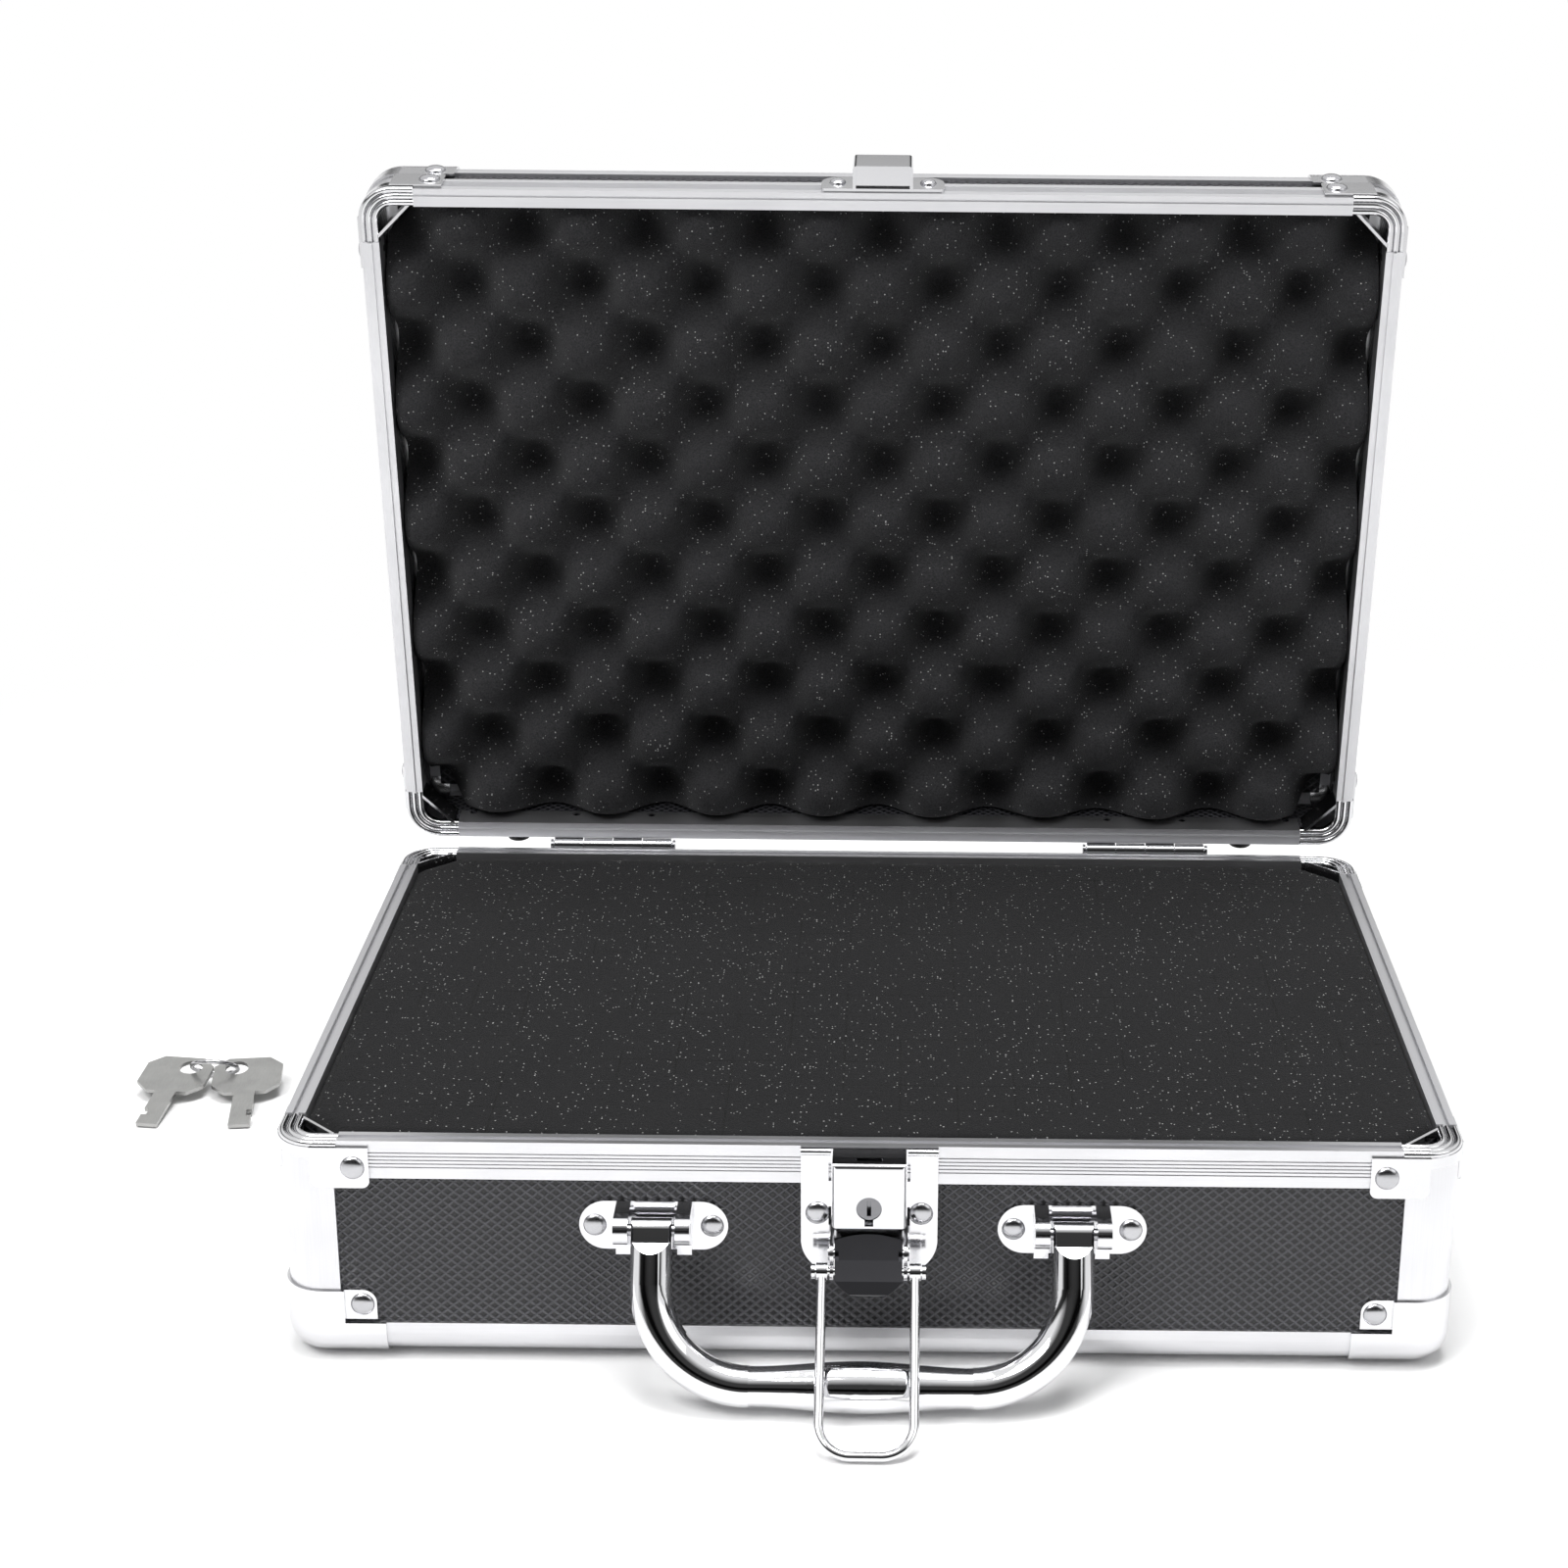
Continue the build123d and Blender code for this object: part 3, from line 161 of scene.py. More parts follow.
@dataclass(frozen=True)
class Metal:
    """A plated, drawn or brushed metal: its colour, its gloss and the fine lines it was left with.

    Lines are stretched noise along the way the metal was drawn; stains are a slow change of tone.
    """

    name: str
    colour: str
    shade: str
    roughness: float
    run: Run = Run.NONE
    line_mm: float = 0.35
    line_depth: float = 0.05
    spread: float = 0.08
    stain_mm: float = 25.0
    finest_gloss: float = 0.03
    line_height_mm: float = 0.05

    def build(self) -> bpy.types.Material:
        """Returns the finished material."""
        made, tree, shader = new_material(self.name)
        place = add_node(tree, "ShaderNodeTexCoord").outputs["Object"]
        fine = 1 / (self.line_mm * MM)
        squash = [fine * (0.02 if along else 1.0) for along in self.run.value]
        stretched = add_node(tree, "ShaderNodeMapping", {"Vector": place, "Scale": squash}).outputs[0]
        lines = add_node(tree, "ShaderNodeTexNoise", {
            "Vector": stretched, "Scale": 1.0, "Detail": 3.0}).outputs[0]
        stains = noise(tree, place, self.stain_mm)
        tone = math_node(tree, "MULTIPLY_ADD", lines, 0.4, math_node(tree, "MULTIPLY", stains, 0.6))
        colour = blend(tree, tone, srgb(self.shade), srgb(self.colour))
        dullest = self.roughness + self.spread / 2
        brightest = max(self.finest_gloss, self.roughness - self.spread / 2)
        gloss = add_node(tree, "ShaderNodeMapRange", {
            "Value": tone, "From Min": 0.25, "From Max": 0.75, "To Min": dullest, "To Max": brightest})
        tree.links.new(colour, shader.inputs["Base Color"])
        tree.links.new(gloss.outputs[0], shader.inputs["Roughness"])
        tree.links.new(relief(tree, lines, self.line_depth, self.line_height_mm), shader.inputs["Normal"])
        shader.inputs["Metallic"].default_value = 1.0
        return made


@dataclass(frozen=True)
class Laminate:
    """Black laminate pressed with a slanting lattice of dimples, whose ridges get a painted highlight, a
    lighter grey colour, as well as a bump.
    """

    name: str
    wall: Wall
    tilt: float = 0.0
    colour: str = "0E0E10"
    # lighter grey of the painted highlight on the dimple ridges
    painted_ridge_highlight: str = "505055"
    roughness: float = 0.32
    cell_mm: float = 3.05
    row_mm: float = 2.6
    depth_mm: float = 0.35
    grain_mm: float = 0.6

    def build(self) -> bpy.types.Material:
        """Returns the finished material, its pattern laid flat on the board."""
        made, tree, shader = new_material(self.name)
        place = add_node(tree, "ShaderNodeTexCoord").outputs["Object"]
        if self.tilt:
            turned = {"Vector": place, "Rotation": (math.radians(self.tilt), 0, 0)}
            place = add_node(tree, "ShaderNodeMapping", turned).outputs[0]
        axes = add_node(tree, "ShaderNodeSeparateXYZ", {0: place}).outputs
        across, up = self.wall.value
        column = math_node(tree, "DIVIDE", axes[across], self.cell_mm * MM)
        row = math_node(tree, "DIVIDE", axes[up], self.row_mm * MM)
        slants = []
        for operation in ("ADD", "SUBTRACT"):
            part = math_node(tree, "FRACT", math_node(tree, operation, column, row))
            slants.append(math_node(tree, "ABSOLUTE", math_node(tree, "SUBTRACT", part, 0.5)))
        dimple = add_node(tree, "ShaderNodeMapRange", {
            "Value": math_node(tree, "MAXIMUM", *slants), "From Min": 0.2, "From Max": 0.48,
            "To Min": 0.0, "To Max": 1.0}, interpolation_type="SMOOTHSTEP").outputs[0]
        grain = noise(tree, place, self.grain_mm)
        # painted highlight: the lattice ridges are coloured lighter grey, varied by the grain noise
        tone = math_node(tree, "MULTIPLY", dimple, math_node(tree, "ADD", grain, 0.2))
        colour = blend(tree, tone, srgb(self.colour), srgb(self.painted_ridge_highlight))
        tree.links.new(colour, shader.inputs["Base Color"])
        tree.links.new(relief(tree, dimple, 1.0, self.depth_mm), shader.inputs["Normal"])
        shader.inputs["Roughness"].default_value = self.roughness
        return made


@dataclass(frozen=True)
class Foam:
    """Charcoal polyurethane foam, dull all over, with open cells darkened by painted shade and a sparkle of
    cut cell walls drawn as a painted glint.
    """

    name: str
    colour: str
    cell_mm: float = 0.75
    sparkle: float = 0.09
    cut_mm: float = 0.0
    cut_half_mm: float = 0.35
    relief_mm: float = 0.5
    # near black of the painted shade in the pores and the saw cuts
    painted_pore_shade: str = "040404"
    # light grey of the painted glint on scattered cut cell walls
    painted_glint: str = "A0A0A0"

    def build(self) -> bpy.types.Material:
        """Returns the finished material, with pre-cut lines where cut_mm states their spacing, drawn as a
        shallow bump and a painted shade.
        """
        made, tree, shader = new_material(self.name)
        place = add_node(tree, "ShaderNodeTexCoord").outputs["Object"]
        cells = add_node(tree, "ShaderNodeTexVoronoi", {"Vector": place, "Scale": 1 / (self.cell_mm * MM)})
        pores = add_node(tree, "ShaderNodeTexNoise", {
            "Vector": place, "Scale": 1 / (0.7 * self.cell_mm * MM), "Detail": 4.0,
            "Roughness": 0.7}).outputs[0]
        lot = add_node(tree, "ShaderNodeSeparateColor", {0: cells.outputs["Color"]}).outputs[0]
        # painted glint: scattered cell centres are coloured light grey, standing for light caught by cut
        # cell walls
        near = math_node(tree, "LESS_THAN", cells.outputs["Distance"], 0.28)
        chosen = math_node(tree, "GREATER_THAN", lot, 1 - self.sparkle)
        glint = math_node(tree, "MULTIPLY", near, chosen)
        # painted shade: the lower parts of the pore noise, and the saw cuts, are coloured darker
        height = pores
        if self.cut_mm:
            height = math_node(tree, "SUBTRACT", pores, self.cuts(tree, place))
        tone = add_node(tree, "ShaderNodeMapRange", {
            "Value": height, "From Min": 0.3, "From Max": 0.7, "To Min": 0.25, "To Max": 1.0}).outputs[0]
        shaded = blend(tree, tone, srgb(self.painted_pore_shade), srgb(self.colour))
        colour = blend(tree, glint, shaded, srgb(self.painted_glint))
        tree.links.new(colour, shader.inputs["Base Color"])
        tree.links.new(relief(tree, height, 0.9, self.relief_mm), shader.inputs["Normal"])
        shader.inputs["Roughness"].default_value = 0.95
        shader.inputs["Specular IOR Level"].default_value = 0.15
        shader.inputs["Sheen Weight"].default_value = 0.06
        return made

    def cuts(self, tree: bpy.types.NodeTree, place: bpy.types.NodeSocket) -> bpy.types.NodeSocket:
        """Faint saw cuts of the cubes to pluck out, open in some places and closed in others.

        Args:
            tree: the material's tree.
            place: the position on the foam.

        Returns:
            The depth of the cut, 0 where there is none.
        """
        axes = add_node(tree, "ShaderNodeSeparateXYZ", {0: place}).outputs
        lines = []
        for axis in ("X", "Y"):
            part = math_node(tree, "FRACT", math_node(tree, "DIVIDE", axes[axis], self.cut_mm * MM))
            away = math_node(tree, "ABSOLUTE", math_node(tree, "SUBTRACT", part, 0.5))
            lines.append(math_node(tree, "LESS_THAN", away, self.cut_half_mm / self.cut_mm))
        either = math_node(tree, "MAXIMUM", *lines)
        openness = noise(tree, place, 32)
        shown = add_node(tree, "ShaderNodeMapRange", {
            "Value": openness, "From Min": 0.48, "From Max": 0.6, "To Min": 0.0, "To Max": 0.5}).outputs[0]
        return math_node(tree, "MULTIPLY", either, shown)


@dataclass(frozen=True)
class Rubber:
    """Black moulded rubber with a faint cloudy bloom."""

    name: str = "moulded_rubber"
    colour: str = "111111"
    bloom: str = "242424"

    def build(self) -> bpy.types.Material:
        """Returns the finished material."""
        made, tree, shader = new_material(self.name)
        place = add_node(tree, "ShaderNodeTexCoord").outputs["Object"]
        bloom = noise(tree, place, 3, detail=4.0)
        tree.links.new(blend(tree, bloom, srgb(self.colour), srgb(self.bloom)), shader.inputs["Base Color"])
        tree.links.new(relief(tree, bloom, 0.2, 0.1), shader.inputs["Normal"])
        shader.inputs["Roughness"].default_value = 0.6
        return made


@dataclass(frozen=True)
class Finishes:
    """Every finish of the case, built once."""

    trim_x: Metal = Metal("anodised_aluminium_along_x", "E4E4E6", "CFCFD2", 0.36, Run.ALONG_X)
    trim_y: Metal = Metal("anodised_aluminium_along_y", "E4E4E6", "CFCFD2", 0.36, Run.ALONG_Y)
    trim_z: Metal = Metal("anodised_aluminium_along_z", "E4E4E6", "CFCFD2", 0.36, Run.ALONG_Z)
    corner: Metal = Metal("nickel_plated_pressed_steel", "E2E2E4", "D2D2D4", 0.2, stain_mm=18.0)
    stepped: Metal = Metal("nickel_plated_rim_corner", "E0E0E2", "CCCCCE", 0.14, stain_mm=12.0)
    handle: Metal = Metal("chromed_tube", "E6E6E8", "DADADC", 0.06, line_depth=0.01, spread=0.03)
    wire: Metal = Metal("chromed_wire", "DEDEE0", "D0D0D2", 0.08, line_depth=0.01, spread=0.03)
    latch: Metal = Metal("nickel_plated_sheet", "E0E0E2", "D0D0D3", 0.12, line_depth=0.02, spread=0.04)
    # painted reflection: the lever's dark grey base colour stands for the dark surroundings it mirrors
    lever: Metal = Metal("black_nickel_lever", "4A4A4D", "343437", 0.12, line_depth=0.02, spread=0.04)
    rivet: Metal = Metal("nickel_plated_rivet", "C4C4C7", "A8A8AB", 0.2, line_mm=0.8)
    pin: Metal = Metal("plain_steel_pin", "A9A9AC", "8F8F93", 0.25, Run.ALONG_X)
    barrel: Metal = Metal("nickel_plated_barrel", "8B8B8E", "6B6B6E", 0.22)
    key: Metal = Metal("brushed_steel_key", "B9B9B7", "8F8F8E", 0.34, Run.ALONG_Y, line_mm=0.3,
                       line_depth=0.25, spread=0.16, stain_mm=6.0)
    ring: Metal = Metal("bright_steel_wire", "C9C9CB", "AEAEB0", 0.12)


@dataclass
class Shell:
    """The CAD nodes of one half of the case, dressed where they stand."""

    prefix: str
    tilt: float

    def dress(self, finishes: Finishes, made: Callable[[object], bpy.types.Material]) -> None:
        """Gives each board and trim its own finish.

        Args:
            finishes: the finishes of the case.
            made: returns the built material of a finish.
        """
        for name in list(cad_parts):
            if not name.startswith(self.prefix):
                continue
            part = name[len(self.prefix):]
            if part.endswith("panel"):
                assign(name, made(self.board(part)))
            elif part in ("front_edge", "back_edge", "front_rim", "back_rim"):
                assign(name, made(finishes.trim_x))
            elif part in ("left_edge", "right_edge", "left_rim", "right_rim"):
                assign(name, made(finishes.trim_y if not self.tilt else finishes.trim_z))
            elif part == "corner_posts":
                assign(name, made(finishes.trim_z if not self.tilt else finishes.trim_y))
            elif part == "ball_corners":
                assign(name, made(finishes.corner))
            elif part == "rim_corners":
                assign(name, made(finishes.stepped))
            elif part == "hinge_leaves":
                assign(name, made(finishes.latch))
            elif part == "feet":
                assign(name, made(Rubber()))

    def board(self, part: str) -> Laminate:
        """Returns the laminate whose pattern lies along a board."""
        walls = {"front": Wall.FRONT, "back": Wall.FRONT, "left": Wall.SIDE, "right": Wall.SIDE}
        wall = walls.get(part.split("_")[0], Wall.LEVEL)
        return Laminate(f"dimpled_laminate_{self.prefix}{wall.name.lower()}", wall, self.tilt)


def assign(node: str, material: bpy.types.Material) -> None:
    """Gives a CAD node a new material in its own slots."""
    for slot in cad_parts[node].material_slots:
        slot.material = material


def deselect() -> None:
    """Leaves nothing selected, so that an operator acts only on what comes next."""
    if bpy.context.object and bpy.context.object.mode != "OBJECT":
        bpy.ops.object.mode_set(mode="OBJECT")
    bpy.ops.object.select_all(action="DESELECT")


def select_where(piece: bpy.types.Object, test: Callable[[bmesh.types.BMVert], bool]) -> None:
    """Selects the points of a piece in edit mode that pass a test.

    Args:
        piece: the mesh object, in edit mode.
        test: says whether a point is taken.
    """
    mesh = bmesh.from_edit_mesh(piece.data)
    for face in mesh.faces:
        face.select = False
    for edge in mesh.edges:
        edge.select = False
    for vert in mesh.verts:
        vert.select = test(vert)
    mesh.select_flush(True)
    bmesh.update_edit_mesh(piece.data)


def settle(piece: bpy.types.Object, name: str, material: bpy.types.Material,
           place: Matrix | None = None) -> None:
    """Names and dresses a finished piece and puts its place into its mesh.

    Args:
        piece: the new piece.
        name: its name.
        material: its finish.
        place: where it goes, if it wasn't modelled in place.
    """
    deselect()
    piece.select_set(True)
    bpy.context.view_layer.objects.active = piece
    bpy.ops.object.transform_apply(location=True, rotation=True, scale=True)
    if place is not None:
        piece.data.transform(place)
    piece.name = name
    piece.data.name = name
    piece.data.materials.clear()
    piece.data.materials.append(material)


@dataclass
class FoamLinings:
    """The two foam linings: cubes to pluck out in the base, an egg-crate pad in the lid."""

    sizes: CaseSizes
    half_x: float = 144.4
    half_y: float = 99.4
    corner_cut: float = 11.5
    floor: float = 5.6
    base_top: float = 61.8
    lid_top: float = 26.4
    valley: float = 6.2
    pitch_x: float = 35.0
    pitch_y: float = 37.0
    shift_x: float = 0.0
    shift_y: float = 0.0

    def sheet(self, columns: int, rows: int) -> bpy.types.Object:
        """A flat grid with its corners cut off, lying at z 0 and left in edit mode.

        Args:
            columns: divisions across.
            rows: divisions front to back.

        Returns:
            The grid.
        """
        deselect()
        bpy.ops.mesh.primitive_grid_add(x_subdivisions=columns, y_subdivisions=rows, size=2)
        piece = bpy.context.object
        piece.scale = (self.half_x * MM, self.half_y * MM, 1)
        bpy.ops.object.transform_apply(location=True, rotation=True, scale=True)
        bpy.ops.object.mode_set(mode="EDIT")
        for way_x in (-1, 1):
            for way_y in (-1, 1):
                bpy.ops.mesh.select_all(action="SELECT")
                corner = Vector((way_x * self.half_x * MM, way_y * (self.half_y - self.corner_cut) * MM, 0))
                bpy.ops.mesh.bisect(plane_co=corner, plane_no=(way_x, way_y, 0), clear_outer=True)
        return piece

    def thicken(self, piece: bpy.types.Object, height: Callable[[float, float], float],
                bottom: float) -> None:
        """Raises the grid to a top surface and closes it down to its bottom.

        Args:
            piece: the grid, in edit mode.
            height: height of the top surface at a place, all in millimetres.
            bottom: height of the underside.
        """
        bpy.ops.mesh.select_mode(type="VERT")
        select_where(piece, lambda vert: vert.is_boundary)
        bpy.ops.mesh.extrude_region_move(TRANSFORM_OT_translate={"value": (0, 0, -0.5)})
        select_where(piece, lambda vert: vert.co.z < -0.25)
        bpy.ops.mesh.edge_face_add()
        mesh = bmesh.from_edit_mesh(piece.data)
        for vert in mesh.verts:
            if vert.co.z < -0.25:
                vert.co.z = bottom * MM
            else:
                vert.co.z = height(vert.co.x / MM, vert.co.y / MM) * MM
        bmesh.update_edit_mesh(piece.data)
        bpy.ops.mesh.select_all(action="SELECT")
        bpy.ops.mesh.normals_make_consistent(inside=False)
        bpy.ops.object.mode_set(mode="OBJECT")
        bpy.ops.object.shade_smooth_by_angle(angle=math.radians(50))

    def edge_sink(self, x: float, y: float, width: float) -> float:
        """How far a pad's edge rounds over at a place, from 0 inside to 1 at its rim."""
        diagonal = (self.half_x + self.half_y - self.corner_cut - abs(x) - abs(y)) / math.sqrt(2)
        inside = min(self.half_x - abs(x), self.half_y - abs(y), diagonal)
        part = max(0.0, 1 - inside / width)
        return part * part

    def crate_height(self, x: float, y: float) -> float:
        """Height of the egg-crate face: rounded bumps in staggered rows with deep narrow valleys between."""
        wave = (math.cos(2 * math.pi * (x - self.shift_x) / self.pitch_x)
                * math.cos(2 * math.pi * (y - self.shift_y) / self.pitch_y))
        wave += 0.04 * math.sin(x * 0.21 + y * 0.13) + 0.03 * math.sin(y * 0.34 - x * 0.11)
        share = min(1.0, max(0.0, 0.5 + 0.5 * wave))
        height = self.lid_top - (self.lid_top - self.valley) * (1 - share) ** 1.6
        return height - 1.5 * self.edge_sink(x, y, 3)

    def flat_height(self, x: float, y: float) -> float:
        """Height of the flat face: level, but for slight hollows and rounded edges."""
        wander = 0.25 * math.sin(x * 0.05 + 1) * math.sin(y * 0.06) + 0.12 * math.sin(x * 0.17 - y * 0.11)
        return self.base_top - 0.4 + wander - 1.4 * self.edge_sink(x, y, 2.5)

    def build(self, made: Callable[[object], bpy.types.Material]) -> None:
        """Models both linings and puts them in their trays.

        Args:
            made: returns the built material of a finish.
        """
        flat = self.sheet(120, 84)
        self.thicken(flat, self.flat_height, self.floor)
        settle(flat, "pluck_foam", made(Foam("pluck_foam_open_cell", "18181A", cut_mm=15.0)))
        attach(flat, "base")
        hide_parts("base_foam")
        log.info("pluck foam in the base")
        crate = self.sheet(200, 138)
        self.thicken(crate, self.crate_height, self.floor)
        crate_finish = made(Foam("egg_crate_foam_open_cell", "38383A"))
        settle(crate, "egg_crate_foam", crate_finish, self.sizes.lid_tray())
        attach(crate, "lid")
        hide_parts("lid_foam")
        log.info("egg-crate foam in the lid")


@dataclass
class Rivets:
    """The domed rivet heads, one group for each CAD node of rivets."""

    sizes: CaseSizes
    head_height: float = 1.3
    radius: float = 3.1
    bracket_radius: float = 3.0
    catch_radius: float = 2.4
    hinge_radius: float = 2.2
    rim_inset: float = 19.8
    rim_out: float = 0.85
    ball_inset: float = 20.1
    plate_out: float = 1.0
    handle_middle: float = -1.6
    handle_half: float = 53.1
    bracket_half: float = 14.9
    bracket_z: float = 39.6
    latch_half: float = 13.1
    latch_z: float = 44.2
    catch_half: float = 13.0
    catch_z: float = 69.8
    hinge_half: float = 85.0
    leaf_half: float = 12.0
    base_hinge_z: float = 56.1
    lid_hinge_z: float = 69.2
    head: bpy.types.Object | None = field(default=None, repr=False)

    def dome(self) -> bpy.types.Object:
        """A domed head of unit radius on its seat, pointing up, with a thin flange under its dome."""
        deselect()
        bpy.ops.mesh.primitive_uv_sphere_add(segments=28, ring_count=14, radius=1)
        piece = bpy.context.object
        bpy.ops.object.mode_set(mode="EDIT")
        bpy.ops.mesh.select_all(action="SELECT")
        bpy.ops.mesh.bisect(plane_co=(0, 0, 0.02), plane_no=(0, 0, 1), clear_inner=True, use_fill=True)
        bpy.ops.mesh.select_mode(type="VERT")
        select_where(piece, lambda vert: vert.co.z < 0.05)
        bpy.ops.mesh.extrude_region_move(TRANSFORM_OT_translate={"value": (0, 0, -0.02)})
        bpy.ops.mesh.select_all(action="SELECT")
        bpy.ops.mesh.normals_make_consistent(inside=False)
        bpy.ops.object.mode_set(mode="OBJECT")
        bpy.ops.object.shade_smooth_by_angle(angle=math.radians(40))
        return piece

    def group(self, node: str, body: str, seats: Sequence[tuple[Point, Point]], radius: float, place: Matrix,
              material: bpy.types.Material) -> None:
        """Sets one head on each seat, in place of a CAD node.

        Args:
            node: the CAD node of rivets.
            body: the body it rides on.
            seats: each seat's place and outward direction, in millimetres.
            radius: radius of the heads.
            place: where the seats' frame lies.
            material: the finish.
        """
        copies = []
        for spot, outwards in seats:
            copy = bpy.data.objects.new(node, self.head.data.copy())
            bpy.context.collection.objects.link(copy)
            turn = Vector((0, 0, 1)).rotation_difference(Vector(outwards)).to_matrix().to_4x4()
            shape = Matrix.Diagonal((radius * MM, radius * MM, self.head_height * MM, 1))
            copy.data.transform(place @ Matrix.Translation(Vector(spot) * MM) @ turn @ shape)
            copies.append(copy)
        deselect()
        for copy in copies:
            copy.select_set(True)
        bpy.context.view_layer.objects.active = copies[0]
        if len(copies) > 1:
            bpy.ops.object.join()
        piece = bpy.context.view_layer.objects.active
        settle(piece, f"{node}_domed", material)
        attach(piece, body)
        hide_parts(node)
        log.info("rivets %s: %d", node, len(seats))

    def corner_seats(self, rim: float, ball: float, ball_out: float) -> list[tuple[Point, Point]]:
        """Seats of the sixteen rivets in one tray's pressed corners, the tray standing on its floor.

        Args:
            rim: height of the rivets in the rim corners.
            ball: height of the rivets in the ball corners.
            ball_out: how far those seats stand out of the trims.

        Returns:
            Each seat's place and outward direction.
        """
        seats = []
        for way_x in (-1, 1):
            for way_y in (-1, 1):
                rows = ((self.rim_inset, self.rim_out, rim), (self.ball_inset, ball_out, ball))
                for inset, out, height in rows:
                    long_way = way_x * (self.sizes.half_width - inset)
                    short_way = way_y * (self.sizes.half_depth - inset)
                    front = way_y * (self.sizes.half_depth + out)
                    side = way_x * (self.sizes.half_width + out)
                    seats.append(((long_way, front, height), (0, way_y, 0)))
                    seats.append(((side, short_way, height), (way_x, 0, 0)))
        return seats

    def build(self, material: bpy.types.Material) -> None:
        """Models the head and sets every group.

        Args:
            material: the finish of the rivets.
        """
        self.head = self.dome()
        home = Matrix.Identity(4)
        lid = self.sizes.lid_rest()
        tray = self.sizes.lid_tray()
        front, back = (0, -1, 0), (0, 1, 0)
        wall_y = self.sizes.half_depth
        plate_y = wall_y + self.plate_out
        ends = (-1, 1)
        base_corners = self.corner_seats(rim=55.4, ball=15.9, ball_out=-0.2)
        self.group("base_corner_rivets", "base", base_corners, self.radius, home, material)
        lid_corners = self.corner_seats(rim=20.4, ball=10.7, ball_out=0.8)
        self.group("lid_corner_rivets", "lid", lid_corners, self.radius, tray, material)
        brackets = [((self.handle_middle + side * self.handle_half + end * self.bracket_half, -wall_y,
                      self.bracket_z), front) for side in ends for end in ends]
        self.group("bracket_rivets", "base", brackets, self.bracket_radius, home, material)
        latch = [((side * self.latch_half, -plate_y, self.latch_z), front) for side in ends]
        self.group("latch_rivets", "base", latch, self.radius, home, material)
        catch = [((side * self.catch_half, -plate_y, self.catch_z), front) for side in ends]
        self.group("catch_rivets", "lid", catch, self.catch_radius, lid, material)
        for node, body, height, place in (("base_hinge_rivets", "base", self.base_hinge_z, home),
                                          ("lid_hinge_rivets", "lid", self.lid_hinge_z, lid)):
            hinges = [((side * self.hinge_half + end * self.leaf_half, plate_y, height), back)
                      for side in ends for end in ends]
            self.group(node, body, hinges, self.hinge_radius, place, material)
        bpy.data.objects.remove(self.head)


@dataclass
class Hardware:
    """The latch, the handle, the hinges' pins and the keys, as the CAD made them."""

    def dress(self, finishes: Finishes, made: Callable[[object], bpy.types.Material]) -> None:
        """Gives each piece of hardware its own finish.

        Args:
            finishes: the finishes of the case.
            made: returns the built material of a finish.
        """
        plan = {
            "handle": finishes.handle, "latch_bail": finishes.wire, "bail_axle": finishes.wire,
            "latch_plate": finishes.latch, "latch_lever": finishes.lever, "lid_catch": finishes.latch,
            "left_handle_bracket": finishes.latch, "right_handle_bracket": finishes.latch,
            "handle_pins": finishes.pin, "lever_pin": finishes.pin, "hinge_pins": finishes.pin,
            "lock_barrel": finishes.barrel, "left_key": finishes.key, "right_key": finishes.key,
            "key_ring": finishes.ring,
        }
        for node, finish in plan.items():
            assign(node, made(finish))


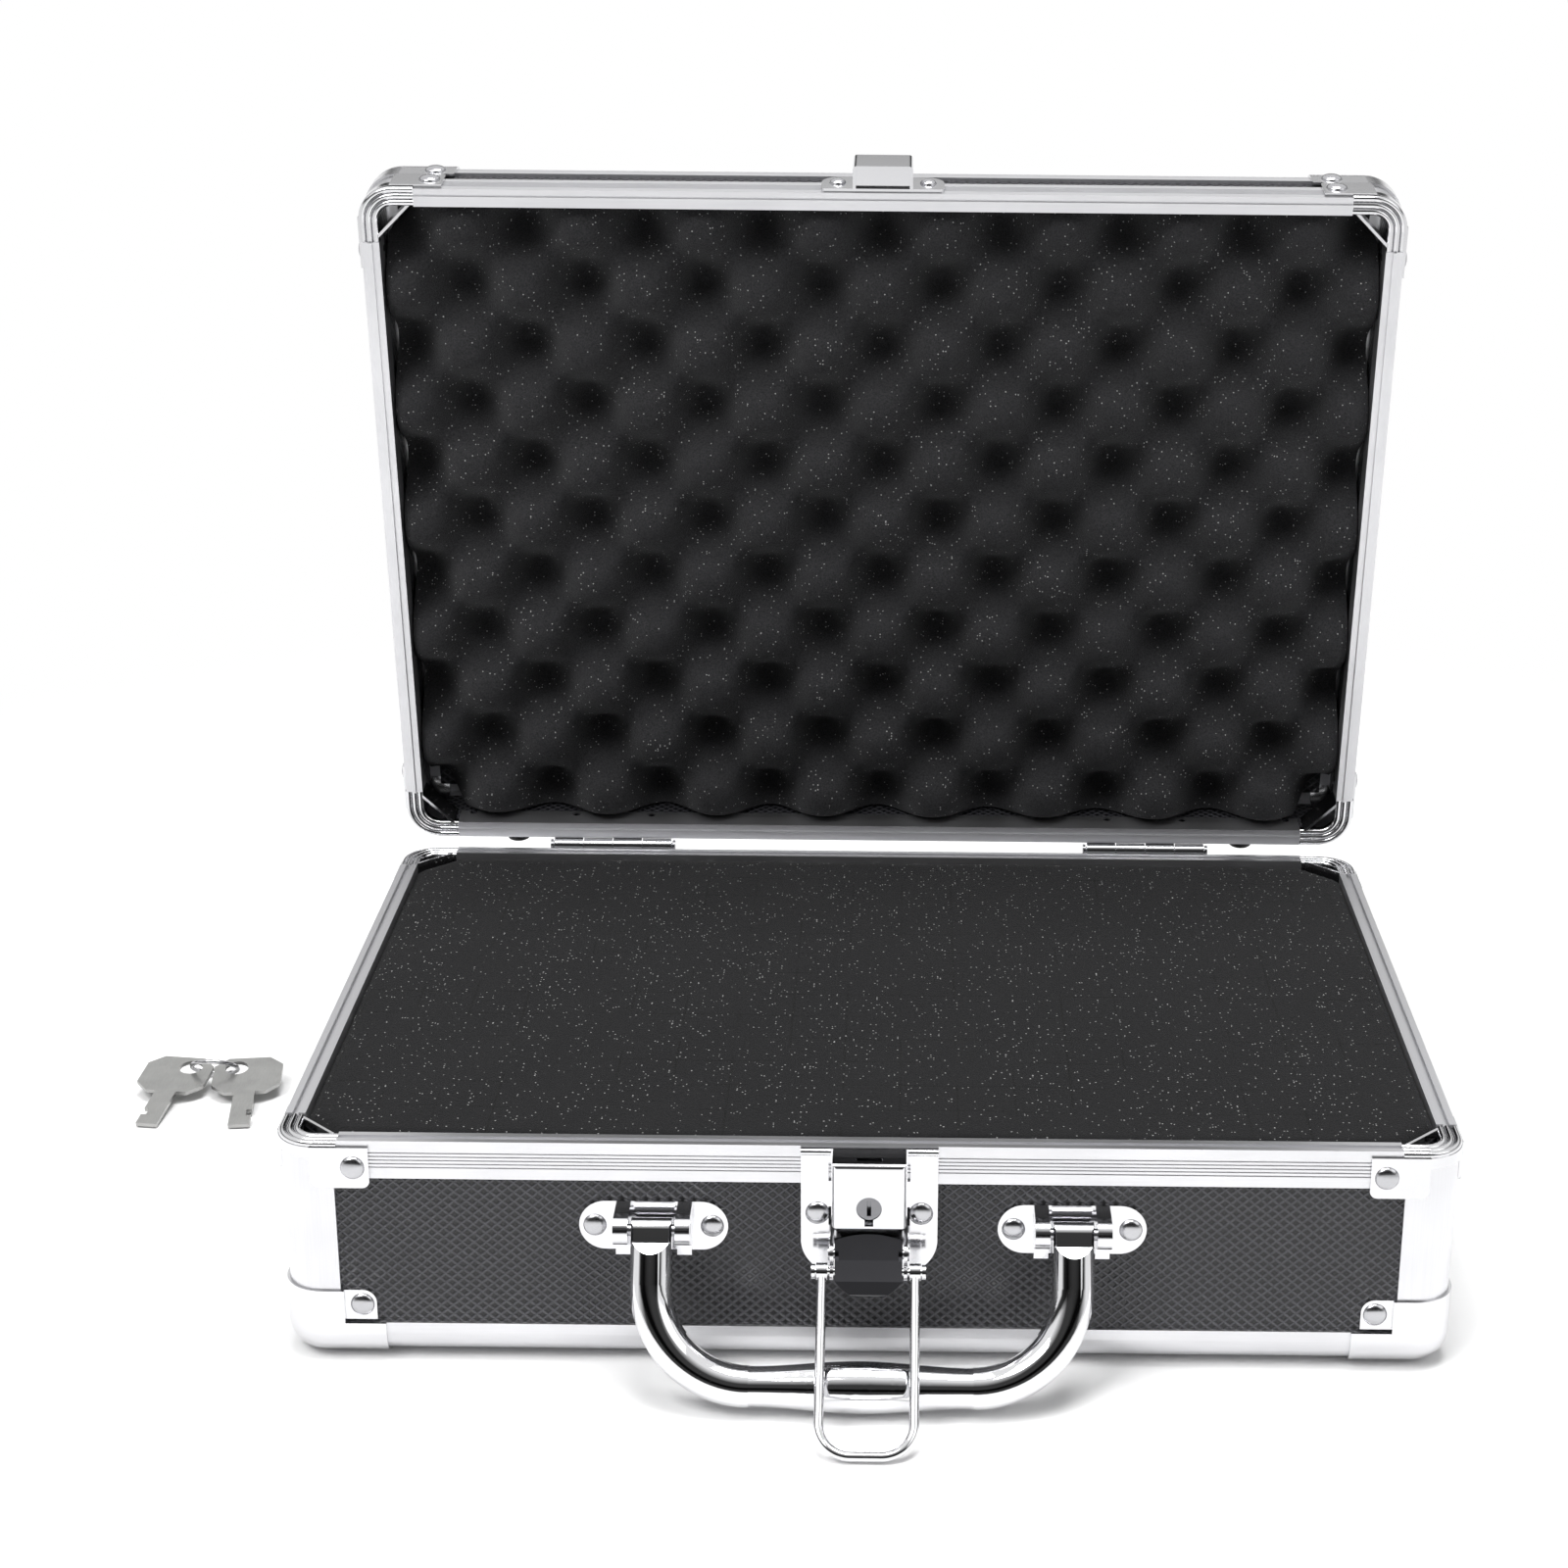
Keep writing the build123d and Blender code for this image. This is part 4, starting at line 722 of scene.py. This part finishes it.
@dataclass
class Studio:
    """A pale floor, soft lamps and the camera at the photograph's angle."""

    camera_at: Point = (7.236, -757.397, 387.665)
    pitch: float = 20.361
    yaw: float = -0.113
    roll: float = 0.539
    lens: float = 66.3
    shift: tuple[float, float] = (-0.07165, 0.03337)
    paper_near: float = 0.27
    paper_far: float = 0.6
    card_height: float = 0.3
    soft_fill: float = 0.34

    def camera(self) -> None:
        """Sets the camera where it took the photograph."""
        data = bpy.data.cameras.new("camera")
        data.lens = self.lens
        data.sensor_width = 36
        data.shift_x, data.shift_y = self.shift
        made = bpy.data.objects.new("camera", data)
        bpy.context.collection.objects.link(made)
        pitch, yaw, roll = (math.radians(a) for a in (self.pitch, self.yaw, self.roll))
        ahead = Vector((math.sin(yaw) * math.cos(pitch), math.cos(yaw) * math.cos(pitch), -math.sin(pitch)))
        level = Vector((math.cos(yaw), -math.sin(yaw), 0))
        above = level.cross(ahead)
        right = level * math.cos(roll) + above * math.sin(roll)
        up = above * math.cos(roll) - level * math.sin(roll)
        turn = Matrix((right, up, -ahead)).transposed().to_4x4()
        made.matrix_world = Matrix.Translation(Vector(self.camera_at) * MM) @ turn
        bpy.context.scene.camera = made

    def lamp(self, name: str, at: Point, size: float, power: float) -> None:
        """Hangs one soft lamp that faces the case.

        Args:
            name: its name.
            at: its place in metres.
            size: width of its diffuser in metres.
            power: its power in watts.
        """
        data = bpy.data.lights.new(name, "AREA")
        data.size = size
        data.energy = power
        made = bpy.data.objects.new(name, data)
        bpy.context.collection.objects.link(made)
        aim = Vector((0, 0, 0.08)) - Vector(at)
        made.matrix_world = Matrix.Translation(at) @ aim.to_track_quat("-Z", "Y").to_matrix().to_4x4()

    def floor(self) -> None:
        """Lays a wide pale floor, white to the camera and in what the metal mirrors."""
        deselect()
        bpy.ops.mesh.primitive_plane_add(size=24)
        plane = bpy.context.object
        made, tree, shader = new_material("pale_paper_floor")
        shader.inputs["Base Color"].default_value = srgb("F6F6F6")
        shader.inputs["Roughness"].default_value = 0.9
        shader.inputs["Specular IOR Level"].default_value = 0.0
        place = add_node(tree, "ShaderNodeTexCoord").outputs["Object"]
        away = add_node(tree, "ShaderNodeVectorMath", {0: place}, operation="LENGTH").outputs["Value"]
        far = add_node(tree, "ShaderNodeMapRange", {
            "Value": away, "From Min": self.paper_near, "From Max": self.paper_far,
            "To Min": 0.0, "To Max": 1.0}, interpolation_type="SMOOTHSTEP").outputs[0]
        rays = add_node(tree, "ShaderNodeLightPath").outputs
        mirrored = math_node(tree, "MAXIMUM", rays["Is Glossy Ray"], rays["Is Transmission Ray"])
        seen = math_node(tree, "MAXIMUM", rays["Is Camera Ray"], mirrored)
        white = add_node(tree, "ShaderNodeEmission", {"Color": (1, 1, 1, 1), "Strength": 1.0}).outputs[0]
        blend = add_node(tree, "ShaderNodeMixShader", {
            0: math_node(tree, "MULTIPLY", far, seen), 1: shader.outputs[0], 2: white}).outputs[0]
        tree.links.new(blend, tree.nodes["Material Output"].inputs["Surface"])
        settle(plane, "floor", made, Matrix.Translation((0, 0, -0.0004)))

    def surroundings(self) -> None:
        """White to the camera; in mirror rays dark behind it and in a band above the floor; a soft fill."""
        world = bpy.data.worlds.new("studio")
        bpy.context.scene.world = world
        world.use_nodes = True
        tree = world.node_tree
        rays = add_node(tree, "ShaderNodeLightPath").outputs
        way = add_node(tree, "ShaderNodeTexCoord").outputs["Generated"]
        axes = add_node(tree, "ShaderNodeSeparateXYZ", {0: way}).outputs
        room = add_node(tree, "ShaderNodeMapRange", {
            "Value": axes["Y"], "From Min": -0.75, "From Max": -0.35,
            "To Min": 0.05, "To Max": 1.0}).outputs[0]
        mirrored = math_node(tree, "MAXIMUM", rays["Is Glossy Ray"], rays["Is Transmission Ray"])
        height = math_node(tree, "ABSOLUTE", math_node(tree, "SUBTRACT", axes["Z"], self.card_height))
        card = add_node(tree, "ShaderNodeMapRange", {
            "Value": height, "From Min": 0.06, "From Max": 0.14, "To Min": 0.04, "To Max": 1.0}).outputs[0]
        room = math_node(tree, "MULTIPLY", room, card)
        shown = add_node(tree, "ShaderNodeMix", {"Factor": mirrored, "A": self.soft_fill, "B": room},
                         data_type="FLOAT").outputs[0]
        level = add_node(tree, "ShaderNodeMix", {"Factor": rays["Is Camera Ray"], "A": shown, "B": 1.0},
                         data_type="FLOAT").outputs[0]
        back = tree.nodes["Background"]
        back.inputs["Color"].default_value = (1, 1, 1, 1)
        tree.links.new(level, back.inputs["Strength"])

    def build(self) -> None:
        """Builds the whole set."""
        self.camera()
        self.floor()
        self.surroundings()
        self.lamp("key_lamp", (-0.7, -0.7, 1.4), 0.8, 17)
        self.lamp("fill_lamp", (1.1, -0.7, 0.9), 1.0, 3)
        self.lamp("top_lamp", (0.1, 0.0, 1.5), 0.7, 19)
        scene = bpy.context.scene
        scene.view_settings.view_transform = "Standard"


def main() -> None:
    """Builds the set, dresses the CAD nodes and models the pieces that replace some of them."""
    logging.basicConfig(level=logging.INFO)
    sizes = CaseSizes()
    finishes = Finishes()
    built: dict[object, bpy.types.Material] = {}

    def made(finish: object) -> bpy.types.Material:
        """Returns a finish's material, built the first time it is asked for."""
        if finish not in built:
            built[finish] = finish.build()
        return built[finish]

    Studio().build()
    Shell("base_", 0.0).dress(finishes, made)
    Shell("lid_", sizes.lid_open).dress(finishes, made)
    Hardware().dress(finishes, made)
    FoamLinings(sizes).build(made)
    Rivets(sizes).build(made(finishes.rivet))
    log.info("all pieces built")


if __name__ == "__main__":
    main()
